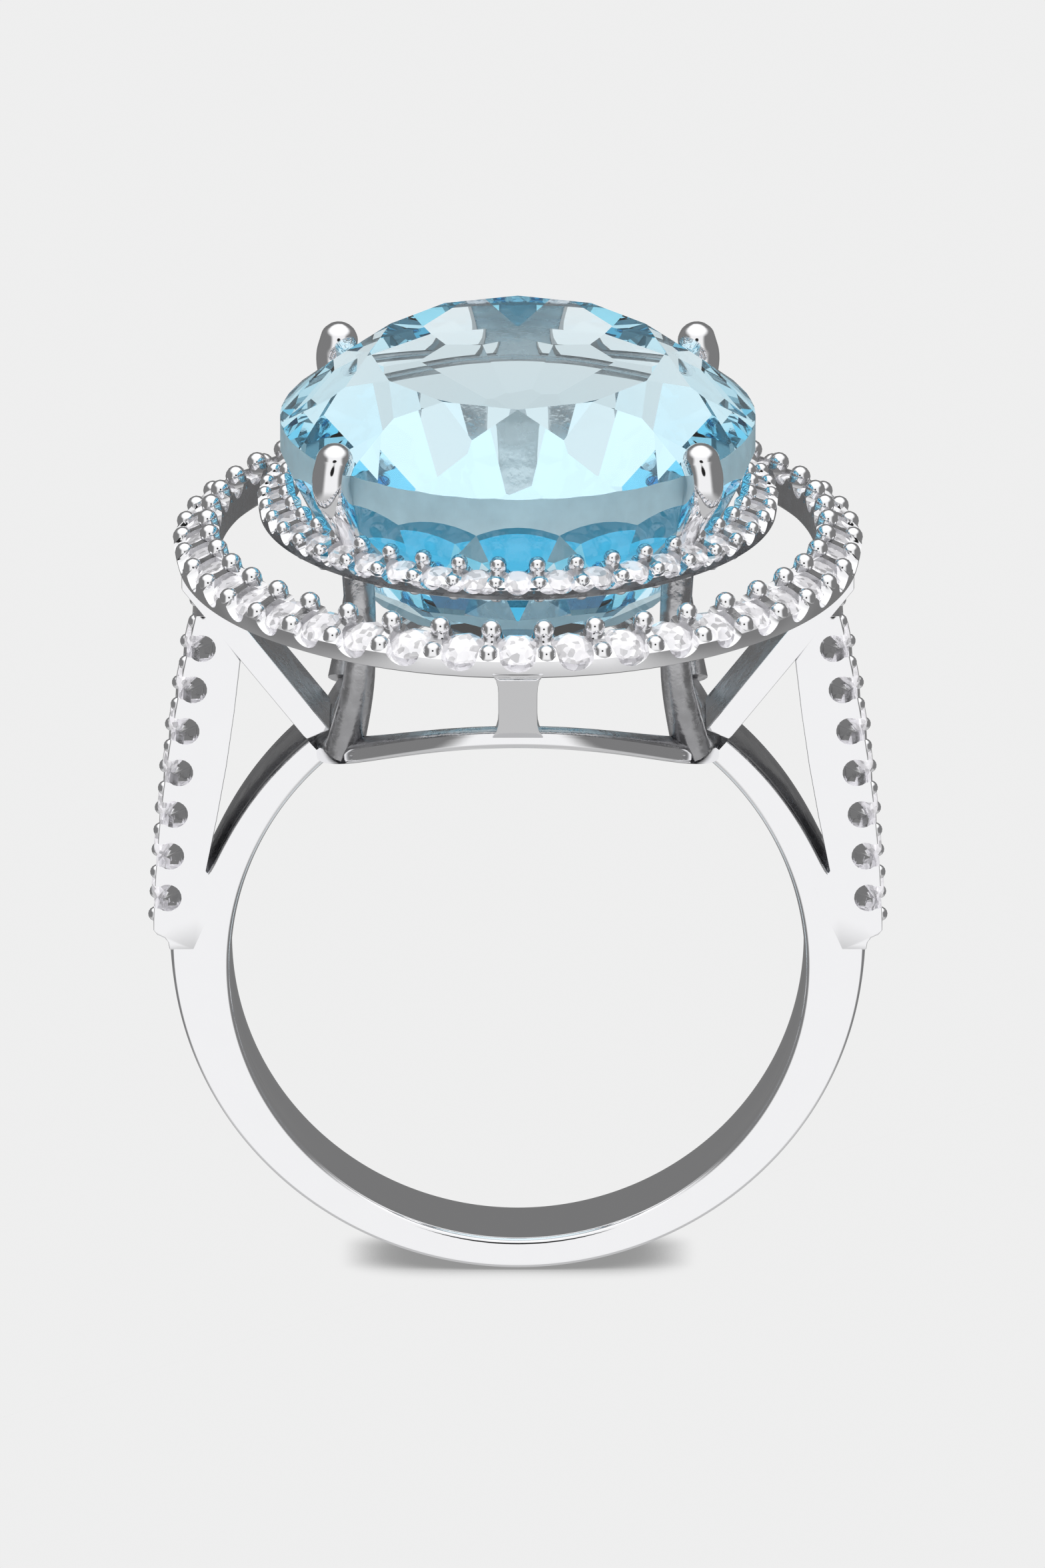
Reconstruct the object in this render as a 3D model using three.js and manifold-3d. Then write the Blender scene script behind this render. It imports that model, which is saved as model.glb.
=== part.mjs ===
// Cocktail ring: a large oval blue stone in a four-prong setting, above two oval halos of small
// white stones, on a band whose shoulders split into a stone-set arm and a diagonal strut.
//
// Millimetres. The origin is the centre of the finger hole, Y is the finger axis (the front of the
// ring faces -Y), X runs across the band and Z points up through the big stone.

import * as THREE from 'three';
import { ConvexGeometry } from 'three/addons/geometries/ConvexGeometry.js';
import { mergeVertices } from 'three/addons/utils/BufferGeometryUtils.js';
import Module from 'manifold-3d';

const wasm = await Module();
wasm.setup();

// ---------------------------------------------------------------- driving dimensions

const solderGap = 0.02;          // clearance left wherever two pieces of metal meet
const seatClearance = 0.03;      // clearance between a stone and the metal around it

// band
const fingerRadius = 8.65;       // half of a 17.3 mm hole, US size 7
const bandWidth = 3.2;           // along the finger
const bandBottom = 0.98;         // radial thickness at the bottom
const bandSwell = 0.87;          // how much thicker it is at the sides
const lowerArmThickness = 0.9;   // radial thickness where the band reaches the gallery
const galleryAngle = 48.5;       // degrees above horizontal where the band stops
const splitAngle = 17.7;         // degrees above horizontal of the bottom of the shoulder window
const splitDepth = 1.2;          // radial thickness of the band just under the window

// stone-set shoulder arms
const armFootAngle = 7.6;        // degrees above horizontal of the arm's lower end
const armProud = 0.48;           // the arm's foot stands this far out of the band
const armTopThickness = 1.4;     // height of its joint with the strut
const armBulge = 0.6;            // how far its face bows outwards between its ends
const armHeadroom = 0.7;         // from the top of its face up to the outer halo
const armStones = 7;
const armStoneGap = 0.19;        // between neighbouring stones
const armFirstStone = 0.04;      // from where the arm has room for an opening to its first stone
const armLastStone = 0.16;       // from the last stone to where that room ends, along the face
const scallopRadius = 0.46;
const openingDepth = 0.43;       // from the arm's face to the middle of a side opening
const armSpine = 0.04;           // metal behind an opening where the arm first has room for it

// diagonal struts between the gallery's corners and the outer halo
const strutThickness = 0.75;
const strutFootDepth = 0.48;     // its foot is this far out from the finger hole,
const strutFootAngle = 50.6;     // at this angle above horizontal
const strutOverhang = 0.3;       // its top reaches this far beyond the outer halo's line of stones

// gallery rail over the finger
const railHalfLength = 7.5;      // along Y, to the rail's middle
const railOverlap = 0.2;         // how far its sides reach past the band's ends
const railWall = 0.62;           // width seen from above
const railThickness = 0.6;       // measured outwards from the finger
const railLift = 0.1;            // clearance between the finger and the rail

// centre posts, front and back
const postWidth = 1.15;
const postThickness = 0.72;

// big stone: an oval brilliant
const gemHalfX = 7.12;
const gemHalfY = 9.0;
const gemSides = 12;
const tableHalfX = 4.43;
const crownHeight = 1.965;
const girdleHeight = 0.85;
const upperPavilion = 3.975;     // height of the steep facets under the girdle
const lowerPavilion = 2.6;       // height of the flat facets down to the culet
const pavilionBreak = 2.12;      // the steep facets draw in by this much
const culetClearance = 0.05;     // between the culet and the top of the gallery rail

// halos
const haloStones = 42;           // in each halo
const haloStrips = 6;            // the stones of a halo are joined in this many strips
const innerReachX = 0.13;        // inner halo's line of stones, beyond the big stone's girdle
const innerReachY = 0.07;
const innerDrop = 1.475;         // from the girdle's underside to the inner halo's flat tops
const haloSpreadX = 2.4;         // from the inner halo's line of stones to the outer one's
const haloSpreadY = 2.8;
const haloDrop = 1.25;
const stripWidth = 0.2;
const stripHeight = 0.07;
const girdleShare = 0.34;        // depth of a small stone's girdle below its top, in radii
const clawRise = 0.05;           // how far the claws stand above the stones' flat tops

// prongs
const prongRadius = 0.56;
const prongWaist = 0.42;
const prongAngle = 44.5;         // where they grip the girdle, as a parameter of its oval
const prongBaseAngle = 39;       // where they pass the inner halo
const prongFootAngle = 28;       // where they stand on the gallery rail
const prongTipOut = 0.43;        // distances out from the girdle's edge, at the tip
const prongShoulderOut = 0.55;   // and beside the girdle
const prongTipRise = 0.45;       // centre of the round tip above the girdle
const prongBaseIn = 0.95;        // in from the inner halo's line of stones
const prongKneeRise = 1.25;      // where the post bends, above the top of the rail

// ---------------------------------------------------------------- worked-out sizes

const bandOuterRadius = fingerRadius + bandBottom + bandSwell;
const railInner = fingerRadius + railLift;
const railOuter = railInner + railThickness;

const culetHeight = railOuter + culetClearance;
const breakHeight = culetHeight + lowerPavilion;
const girdleBottom = breakHeight + upperPavilion;
const girdleTop = girdleBottom + girdleHeight;
const tableHeight = girdleTop + crownHeight;

// Each halo's stones and rim lean outwards by its tilt, in degrees.
const innerHalo = {
  halfX: gemHalfX + innerReachX, halfY: gemHalfY + innerReachY, top: girdleBottom - innerDrop,
  wall: 0.48, height: 0.7, stoneGap: 0.245, tilt: 18,
};
const outerHalo = {
  halfX: innerHalo.halfX + haloSpreadX, halfY: innerHalo.halfY + haloSpreadY,
  top: innerHalo.top - haloDrop, wall: 0.62, height: 1.0, stoneGap: 0.295, tilt: 24,
};
for (const halo of [innerHalo, outerHalo]) {
  const line = new THREE.EllipseCurve(0, 0, halo.halfX, halo.halfY);
  halo.stoneRadius = (line.getLength() / haloStones - halo.stoneGap) / 2;
}
const haloUnderside = outerHalo.top + clawRise - outerHalo.height;

// ---------------------------------------------------------------- materials

function metal() {
  return new THREE.MeshStandardMaterial({ color: 0xd9d9dc, roughness: 0.08, metalness: 1 });
}

function blueStone() {
  return new THREE.MeshStandardMaterial({ color: 0xa6dcf6, roughness: 0.03, metalness: 0 });
}

function whiteStone() {
  return new THREE.MeshStandardMaterial({ color: 0xf0ecf8, roughness: 0.03, metalness: 0 });
}

// ---------------------------------------------------------------- solids

function solid(geometry) {
  const bare = geometry.clone();
  bare.deleteAttribute('normal');
  bare.deleteAttribute('uv');
  const merged = mergeVertices(bare, 1e-5);
  const mesh = new wasm.Mesh({
    numProp: 3,
    vertProperties: new Float32Array(merged.attributes.position.array),
    triVerts: new Uint32Array(merged.index.array),
  });
  return new wasm.Manifold(mesh);
}

function geometryOf(manifold) {
  const mesh = manifold.getMesh();
  const geometry = new THREE.BufferGeometry();
  geometry.setAttribute('position', new THREE.BufferAttribute(mesh.vertProperties, 3));
  geometry.setIndex(new THREE.BufferAttribute(mesh.triVerts, 1));
  return geometry;
}

function cut(body, tools) {
  return tools.reduce((left, tool) => left.subtract(tool), body);
}

function join(body, others) {
  return others.reduce((whole, other) => whole.add(other), body);
}

// An outline in the front view (X across, Z up), made as thick as depth along Y, about Y = 0.
function plate(outline, depth, curveSegments = 40) {
  const geometry = new THREE.ExtrudeGeometry(outline, {
    depth, bevelEnabled: false, curveSegments,
  });
  return geometry.translate(0, 0, -depth / 2).rotateX(Math.PI / 2);
}

// A vertical oval ring between two heights.
function ovalRing(halfX, halfY, halfWall, bottom, top, curveSegments = 28) {
  const outline = new THREE.Shape();
  outline.absellipse(0, 0, halfX + halfWall, halfY + halfWall, 0, 2 * Math.PI);
  const hole = new THREE.Path();
  hole.absellipse(0, 0, halfX - halfWall, halfY - halfWall, 0, 2 * Math.PI);
  outline.holes.push(hole);
  const geometry = new THREE.ExtrudeGeometry(outline, {
    depth: top - bottom, bevelEnabled: false, curveSegments,
  });
  return geometry.translate(0, 0, bottom);
}

function cylinderAlongY(radius, length, segments = 64) {
  return new THREE.CylinderGeometry(radius, radius, length, segments);
}

// ---------------------------------------------------------------- small round stones

// A round stone with its flat top at Z = 0, and the hole that it sits in.
function roundStone(radius) {
  const profile = [
    new THREE.Vector2(0, -1.02 * radius),
    new THREE.Vector2(radius, -girdleShare * radius),
    new THREE.Vector2(0.58 * radius, 0),
    new THREE.Vector2(0, 0),
  ];
  return new THREE.LatheGeometry(profile, 8);
}

function stoneSeat(radius, depth) {
  const height = depth + radius;
  const seat = new THREE.CylinderGeometry(radius + seatClearance, radius + seatClearance, height, 8);
  return seat.translate(0, radius - height / 2, 0);
}

// LatheGeometry turns about Y, so its axis is turned to Z, or to any other direction.
function stand(geometry, position, direction = new THREE.Vector3(0, 0, 1)) {
  const turn = new THREE.Quaternion().setFromUnitVectors(new THREE.Vector3(0, 1, 0), direction);
  return geometry.clone().applyQuaternion(turn).translate(position.x, position.y, position.z);
}

// ---------------------------------------------------------------- halos

// Places spaced evenly along an oval, the first at the front, each with the way its stone faces.
function ovalPlaces(halo) {
  const oval = new THREE.EllipseCurve(0, 0, halo.halfX, halo.halfY, -Math.PI / 2, 1.5 * Math.PI);
  oval.arcLengthDivisions = 2000;
  const tilt = THREE.MathUtils.degToRad(halo.tilt);
  const places = [];
  for (let index = 0; index < haloStones; index += 1) {
    const point = oval.getPointAt(index / haloStones);
    const outward = new THREE.Vector3(point.x / halo.halfX ** 2, point.y / halo.halfY ** 2, 0);
    const facing = outward.setLength(Math.sin(tilt)).setZ(Math.cos(tilt));
    places.push({ point: new THREE.Vector3(point.x, point.y, halo.top), facing });
  }
  return places;
}

// An oval ring whose flat rim slopes down outwards.
function slopedRing(halo, steps = 112) {
  const rise = halo.wall * Math.tan(THREE.MathUtils.degToRad(halo.tilt));
  const rim = halo.top + clawRise;
  const bottom = rim - halo.height;
  const section = [
    [-halo.wall, bottom], [halo.wall, bottom], [halo.wall, rim - rise], [-halo.wall, rim + rise],
  ];
  const positions = [];
  const triangles = [];
  const corners = section.length;
  for (let step = 0; step < steps; step += 1) {
    const angle = 2 * Math.PI * step / steps;
    const after = (step + 1) % steps;
    for (let corner = 0; corner < corners; corner += 1) {
      const [offset, height] = section[corner];
      positions.push((halo.halfX + offset) * Math.cos(angle));
      positions.push((halo.halfY + offset) * Math.sin(angle), height);
      const next = (corner + 1) % corners;
      const here = step * corners;
      const there = after * corners;
      triangles.push(here + corner, there + next, here + next);
      triangles.push(here + corner, there + corner, there + next);
    }
  }
  const geometry = new THREE.BufferGeometry();
  geometry.setAttribute('position', new THREE.Float32BufferAttribute(positions, 3));
  geometry.setIndex(triangles);
  return geometry;
}

function haloFrame(halo, passages) {
  const ring = solid(slopedRing(halo));
  const stripHalf = stripWidth / 2 + seatClearance;
  const stripFloor = halo.top - girdleShare * halo.stoneRadius - seatClearance;
  const groove = solid(ovalRing(halo.halfX, halo.halfY, stripHalf, stripFloor, halo.top + 1));
  const seat = stoneSeat(halo.stoneRadius, 1.1 * halo.stoneRadius);
  const seats = ovalPlaces(halo).map(({ point, facing }) => solid(stand(seat, point, facing)));
  return geometryOf(cut(ring, [groove, ...seats, ...passages]));
}

// One strip of stones, held together by thin bars between them.
function stoneStrip(halo, strip) {
  const count = haloStones / haloStrips;
  const first = strip * count - Math.floor(count / 2) + haloStones;
  const places = ovalPlaces(halo);
  const stone = roundStone(halo.stoneRadius);
  const stripZ = halo.top - girdleShare * halo.stoneRadius;
  const bodies = [];
  for (let step = 0; step < count; step += 1) {
    const { point: place, facing } = places[(first + step) % haloStones];
    bodies.push(solid(stand(stone, place, facing)));
    if (step > 0) {
      const before = places[(first + step - 1) % haloStones].point;
      const along = place.clone().sub(before);
      const bar = new THREE.BoxGeometry(along.length(), stripWidth, stripHeight);
      bar.rotateZ(Math.atan2(along.y, along.x));
      bar.translate((place.x + before.x) / 2, (place.y + before.y) / 2, stripZ + stripHeight / 2);
      bodies.push(solid(bar));
    }
  }
  return geometryOf(join(bodies[0], bodies.slice(1)));
}

// ---------------------------------------------------------------- band and shoulders

function polar(radius, degrees, side = 1) {
  const angle = THREE.MathUtils.degToRad(degrees);
  return new THREE.Vector2(side * radius * Math.cos(angle), radius * Math.sin(angle));
}

const splitPoint = polar(fingerRadius + splitDepth, splitAngle);
const armFootHeight = polar(fingerRadius, armFootAngle).y;
const bandFootX = Math.sqrt(bandOuterRadius ** 2 - (armFootHeight - bandSwell) ** 2);
const bandFoot = new THREE.Vector2(bandFootX, armFootHeight);

function shank() {
  const gallery = THREE.MathUtils.degToRad(galleryAngle);
  const foot = Math.asin((armFootHeight - bandSwell) / bandOuterRadius);
  const splitRadius = fingerRadius + splitDepth;
  const tipRadius = fingerRadius + lowerArmThickness;
  const armSteps = 8;
  const lowerArm = [];
  for (let step = 0; step <= armSteps; step += 1) {
    const share = step / armSteps;
    const degrees = THREE.MathUtils.lerp(splitAngle, galleryAngle, share);
    const radius = THREE.MathUtils.lerp(splitRadius, tipRadius, Math.sqrt(share));
    lowerArm.push([radius, degrees]);
  }
  const outline = new THREE.Shape();
  outline.absarc(0, bandSwell, bandOuterRadius, foot, -Math.PI - foot, true);
  for (const [radius, degrees] of lowerArm) {
    const point = polar(radius, degrees, -1);
    outline.lineTo(point.x, point.y);
  }
  outline.absarc(0, 0, fingerRadius, Math.PI - gallery, 2 * Math.PI + gallery, false);
  for (const [radius, degrees] of lowerArm.slice().reverse()) {
    const point = polar(radius, degrees);
    outline.lineTo(point.x, point.y);
  }
  return plate(outline, bandWidth);
}

// The strut's edges in the front view, on the right; negative offsets are on the arm's side.
const strutFoot = polar(fingerRadius + strutFootDepth, strutFootAngle);
const strutTop = new THREE.Vector2(outerHalo.halfX + strutOverhang, haloUnderside - solderGap);
const strutAlong = strutTop.clone().sub(strutFoot).normalize();
const strutInward = new THREE.Vector2(-strutAlong.y, strutAlong.x);

function strutEdge(offset, height) {
  const start = strutFoot.clone().addScaledVector(strutInward, offset);
  return start.addScaledVector(strutAlong, (height - start.y) / strutAlong.y);
}

function strut(side) {
  const half = strutThickness / 2;
  const tip = polar(fingerRadius + lowerArmThickness + solderGap, galleryAngle);
  const onEdge = strutEdge(half, strutFoot.y);
  const down = onEdge.dot(strutAlong);
  const past = onEdge.lengthSq() - (railOuter + solderGap) ** 2;
  const inner = onEdge.addScaledVector(strutAlong, Math.sqrt(down ** 2 - past) - down);
  const points = [
    strutEdge(-half, tip.y + 0.1),
    strutEdge(-half, strutTop.y),
    strutEdge(half, strutTop.y),
    inner,
    tip,
  ];
  return plate(new THREE.Shape(points.map((point) => point.setX(side * point.x))), bandWidth);
}

const armFoot = new THREE.Vector2(bandFootX + armProud, armFootHeight);
const armTop = new THREE.Vector2(outerHalo.halfX - 0.15, haloUnderside - armHeadroom);
const armMiddle = armFoot.clone().add(armTop).multiplyScalar(0.5);
armMiddle.x += armBulge;
const armFace = new THREE.QuadraticBezierCurve(armFoot, armMiddle, armTop);
const armLength = armFace.getLength();

function armPlace(distance) {
  const point = armFace.getPointAt(distance / armLength);
  const along = armFace.getTangentAt(distance / armLength);
  return { point, outward: new THREE.Vector2(along.y, -along.x) };
}

// The metal left behind a stone's side opening, in front of the strut and of the band.
function metalBehind(distance) {
  const { point, outward } = armPlace(distance);
  const deep = point.addScaledVector(outward, -openingDepth);
  const strutSide = -deep.clone().sub(strutFoot).dot(strutInward) - strutThickness / 2;
  const bandLine = splitPoint.clone().sub(bandFoot).normalize();
  const beyond = deep.clone().sub(bandFoot);
  const bandSide = bandLine.y * beyond.x - bandLine.x * beyond.y;
  return Math.min(strutSide, bandSide) - solderGap - scallopRadius;
}

// The distance along the face where the room for an opening begins, walking from one of its ends.
function roomFrom(end, step) {
  let distance = end;
  while (metalBehind(distance) < armSpine) distance += step;
  return distance;
}

const armRowStart = roomFrom(0, 0.01) + armFirstStone;
const armRowEnd = roomFrom(armLength, -0.01) - armLastStone;
const armPitch = (armRowEnd - armRowStart) / (armStones - 1);
const armStoneRadius = (armPitch - armStoneGap) / 2;

function armPlaces() {
  const places = [];
  for (let index = 0; index < armStones; index += 1) places.push(armPlace(armRowStart + index * armPitch));
  return places;
}

// A strip along the face that always holds the openings, with metal behind them.
function armSpineOutline(face) {
  const depth = openingDepth + scallopRadius + armSpine;
  const behind = face.map((point, index) => {
    const from = face[Math.max(index - 1, 0)];
    const to = face[Math.min(index + 1, face.length - 1)];
    const along = to.clone().sub(from).normalize();
    return point.clone().addScaledVector(new THREE.Vector2(along.y, -along.x), -depth);
  });
  return [...face, ...behind.reverse()];
}

// Everything on the finger's side of the arm: the strut above, and the band below its foot.
function besideArm() {
  const half = strutThickness / 2 + solderGap;
  const gap = new THREE.Vector2(solderGap, solderGap);
  const low = new THREE.Vector2(armFoot.x + armProud, armFootHeight - solderGap);
  return [
    strutEdge(-half, strutTop.y + bandWidth), new THREE.Vector2(0, strutTop.y + bandWidth),
    new THREE.Vector2(0, 0), new THREE.Vector2(low.x, 0), low, bandFoot.clone().setY(low.y),
    bandFoot.clone().add(gap), splitPoint.clone().add(gap), strutEdge(-half, splitPoint.y),
  ];
}

function arm(side) {
  const half = strutThickness / 2 + solderGap;
  const towardsStrut = (point) => point.clone().sub(strutFoot).dot(strutInward) < -half;
  const faceSteps = 28;
  const face = armFace.getSpacedPoints(faceSteps).filter(towardsStrut);
  const faceTop = face[face.length - 1];
  const outline = [
    ...face,
    strutEdge(-half, faceTop.y),
    strutEdge(-half, faceTop.y - armTopThickness),
    splitPoint.clone().add(new THREE.Vector2(solderGap, solderGap)),
    bandFoot.clone().add(new THREE.Vector2(solderGap, solderGap)),
  ];
  const mirror = (points) => points.map((point) => new THREE.Vector2(side * point.x, point.y));
  const body = solid(plate(new THREE.Shape(mirror(outline)), bandWidth))
    .add(solid(plate(new THREE.Shape(mirror(armSpineOutline(face))), bandWidth)))
    .subtract(solid(plate(new THREE.Shape(mirror(besideArm())), 2 * bandWidth)));

  const cutters = [];
  for (const { point, outward } of armPlaces()) {
    const direction = new THREE.Vector3(side * outward.x, 0, outward.y);
    const place = new THREE.Vector3(side * point.x, 0, point.y).addScaledVector(direction, 0.1);
    cutters.push(solid(stand(stoneSeat(armStoneRadius, 1.25 * armStoneRadius), place, direction)));
    const deep = place.clone().addScaledVector(direction, -openingDepth - 0.1);
    const notch = cylinderAlongY(scallopRadius, bandWidth + 1, 12);
    cutters.push(solid(notch.translate(deep.x, 0, deep.z)));
    const mouth = new THREE.BoxGeometry(1.6 * armStoneRadius, bandWidth + 1, 2 * scallopRadius);
    mouth.rotateY(-Math.atan2(direction.z, direction.x));
    deep.addScaledVector(direction, 0.8 * armStoneRadius);
    cutters.push(solid(mouth.translate(deep.x, 0, deep.z)));
  }
  return geometryOf(cut(body, cutters));
}

function armStone(side, index) {
  const { point, outward } = armPlaces()[index];
  const direction = new THREE.Vector3(side * outward.x, 0, outward.y);
  const place = new THREE.Vector3(side * point.x, 0, point.y).addScaledVector(direction, 0.1);
  return stand(roundStone(armStoneRadius), place, direction);
}

// ---------------------------------------------------------------- gallery

// The rail is the part of an oval wall that lies in a shell around the finger.
function galleryRail() {
  const halfWidth = polar(railInner, galleryAngle).x + railOverlap;
  const wall = solid(ovalRing(halfWidth, railHalfLength, railWall / 2, 0, 2 * railOuter, 24));
  const length = 4 * railHalfLength;
  const bore = solid(cylinderAlongY(railInner, length));
  const rail = wall.intersect(solid(cylinderAlongY(railOuter, length)).subtract(bore));
  const start = THREE.MathUtils.degToRad(galleryAngle) + solderGap / railInner;
  const wedges = [-1, 1].map((side) => {
    const wedge = new THREE.Shape([
      new THREE.Vector2(0, 0),
      new THREE.Vector2(side * 2 * railOuter * Math.cos(start), 2 * railOuter * Math.sin(start)),
      new THREE.Vector2(side * 2 * railOuter, 0),
    ]);
    return solid(plate(wedge, length));
  });
  return geometryOf(cut(rail, wedges));
}

function centrePost(end) {
  const low = railOuter + solderGap;
  const high = haloUnderside - solderGap;
  const points = [
    new THREE.Vector2(railHalfLength + railWall / 2 - postThickness, low),
    new THREE.Vector2(railHalfLength + railWall / 2, low),
    new THREE.Vector2(outerHalo.halfY + outerHalo.wall, high),
    new THREE.Vector2(outerHalo.halfY + outerHalo.wall - postThickness, high),
  ];
  const outline = new THREE.Shape(points);
  const geometry = new THREE.ExtrudeGeometry(outline, { depth: postWidth, bevelEnabled: false });
  geometry.translate(0, 0, -postWidth / 2);
  geometry.rotateX(Math.PI / 2);
  return geometry.rotateZ(end * Math.PI / 2);
}

// ---------------------------------------------------------------- big stone and prongs

function gemGeometry(grow = 0) {
  const points = [];
  const stretch = gemHalfY / gemHalfX;
  const addRing = (halfX, height, sides, turn) => {
    for (let index = 0; index < sides; index += 1) {
      const angle = -Math.PI / 2 + 2 * Math.PI * (index + turn) / sides;
      const x = (halfX + grow) * Math.cos(angle);
      const y = (halfX * stretch + grow) * Math.sin(angle);
      points.push(new THREE.Vector3(x, y, height));
    }
  };
  const kiteHalfX = (tableHalfX + gemHalfX) / 2 + 0.15;
  const kiteHeight = (tableHeight + girdleTop) / 2 + 0.1;
  addRing(tableHalfX, tableHeight + grow, gemSides, 0);
  addRing(kiteHalfX, kiteHeight + grow, gemSides, 0.5);
  addRing(gemHalfX, girdleTop + grow, 2 * gemSides, 0);
  addRing(gemHalfX, girdleBottom - grow, 2 * gemSides, 0);
  addRing(gemHalfX - pavilionBreak, breakHeight - grow, gemSides, 0.5);
  points.push(new THREE.Vector3(0, 0, culetHeight - grow));
  return new ConvexGeometry(points);
}

// A closed rod through rings of points, with a flat fan over each end.
function loft(rings) {
  const count = rings[0].length;
  const positions = rings.flat().flatMap((point) => point.toArray());
  const triangles = [];
  for (let step = 0; step + 1 < rings.length; step += 1) {
    for (let index = 0; index < count; index += 1) {
      const here = step * count + index;
      const next = step * count + (index + 1) % count;
      triangles.push(here, next, here + count, next, next + count, here + count);
    }
  }
  const last = (rings.length - 1) * count;
  for (let index = 1; index + 1 < count; index += 1) {
    triangles.push(0, index + 1, index, last, last + index, last + index + 1);
  }
  const geometry = new THREE.BufferGeometry();
  geometry.setAttribute('position', new THREE.Float32BufferAttribute(positions, 3));
  geometry.setIndex(triangles);
  return geometry;
}

function taperedRod(places, radii, sides, steps) {
  const path = new THREE.CatmullRomCurve3(places);
  const turn = new THREE.Quaternion();
  const up = new THREE.Vector3(0, 0, 1);
  const rings = [];
  for (let step = 0; step <= steps; step += 1) {
    const share = step / steps;
    turn.setFromUnitVectors(up, path.getTangent(share));
    const place = share * (radii.length - 1);
    const before = Math.min(Math.floor(place), radii.length - 2);
    const radius = THREE.MathUtils.lerp(radii[before], radii[before + 1], place - before);
    const ring = [];
    for (let side = 0; side < sides; side += 1) {
      const angle = 2 * Math.PI * side / sides;
      const spoke = new THREE.Vector3(radius * Math.cos(angle), radius * Math.sin(angle), 0);
      ring.push(spoke.applyQuaternion(turn).add(path.getPoint(share)));
    }
    rings.push(ring);
  }
  return solid(loft(rings));
}

// A place beside an oval, at a parameter in degrees and an offset outwards.
function besideOval(halfX, halfY, degrees, offset, height) {
  const angle = THREE.MathUtils.degToRad(degrees);
  const place = new THREE.Vector3(halfX * Math.cos(angle), halfY * Math.sin(angle), 0);
  const outward = new THREE.Vector3(place.x / halfX ** 2, place.y / halfY ** 2, 0).normalize();
  return place.addScaledVector(outward, offset).setZ(height);
}

function prongSolid(sideX, sideY, grow = 0) {
  const base = besideOval(
    innerHalo.halfX, innerHalo.halfY, prongBaseAngle, -prongBaseIn, innerHalo.top - 0.2,
  );
  const railHalfX = polar(railInner, galleryAngle).x + railOverlap;
  const foot = besideOval(railHalfX, railHalfLength, prongFootAngle, 0, 0);
  foot.setZ(Math.sqrt(railInner ** 2 - foot.x ** 2));
  const knee = base.clone().multiplyScalar(0.97).setZ(railOuter + prongKneeRise);
  const girdleMiddle = (girdleTop + girdleBottom) / 2;
  const shoulder = besideOval(gemHalfX, gemHalfY, prongAngle, prongShoulderOut, girdleMiddle);
  const tip = besideOval(gemHalfX, gemHalfY, prongAngle, prongTipOut, girdleTop + prongTipRise);
  const corner = new THREE.Vector3(sideX, sideY, 1);
  const places = [foot, knee, base, shoulder, tip].map((place) => place.multiply(corner));
  const radii = [prongRadius, prongWaist, prongWaist, prongRadius, prongRadius];
  const rod = taperedRod(places, radii.map((radius) => radius + grow), 8, 12);
  const dome = new THREE.SphereGeometry(prongRadius + grow, 8, 6).rotateX(Math.PI / 2);
  return rod.add(solid(dome.translate(tip.x, tip.y, tip.z)));
}

function prong(sideX, sideY) {
  const below = solid(cylinderAlongY(railOuter + solderGap, 4 * railHalfLength));
  const stone = solid(gemGeometry(seatClearance));
  return geometryOf(cut(prongSolid(sideX, sideY), [below, stone]));
}

// ---------------------------------------------------------------- assembly

const ring = new THREE.Group();

function add(name, geometry, material) {
  const mesh = new THREE.Mesh(geometry, material);
  mesh.name = name;
  ring.add(mesh);
}

const sides = [['left', -1], ['right', 1]];
const ends = [['front', -1], ['back', 1]];

add('shank', shank(), metal());
for (const [sideName, side] of sides) {
  add(`shoulder_arm_${sideName}`, arm(side), metal());
  add(`shoulder_strut_${sideName}`, strut(side), metal());
  for (let index = 0; index < armStones; index += 1) {
    add(`shoulder_stone_${sideName}_${index + 1}`, armStone(side, index), whiteStone());
  }
}
add('gallery_rail', galleryRail(), metal());
for (const [endName, end] of ends) {
  add(`gallery_post_${endName}`, centrePost(end), metal());
}
const passages = [];
for (const [endName, end] of ends) {
  for (const [sideName, side] of sides) {
    add(`prong_${endName}_${sideName}`, prong(side, end), metal());
    passages.push(prongSolid(side, end, solderGap));
  }
}
add('outer_halo_frame', haloFrame(outerHalo, []), metal());
add('inner_halo_frame', haloFrame(innerHalo, passages), metal());
for (const [name, halo] of [['outer', outerHalo], ['inner', innerHalo]]) {
  for (let strip = 0; strip < haloStrips; strip += 1) {
    add(`${name}_halo_stones_${strip + 1}`, stoneStrip(halo, strip), whiteStone());
  }
}
add('centre_stone', gemGeometry(), blueStone());

export default ring;
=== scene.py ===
"""A cocktail ring: an oval blue stone over two halos of small white stones, on a split-shoulder band.

Laid out as an add-on and run as a script. Each piece is modelled at the bench in millimetres and
brought to metres when it is finished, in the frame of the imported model: Y is the finger axis, the
front of the ring faces -Y, and the origin is the centre of the finger hole.
"""

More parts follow.
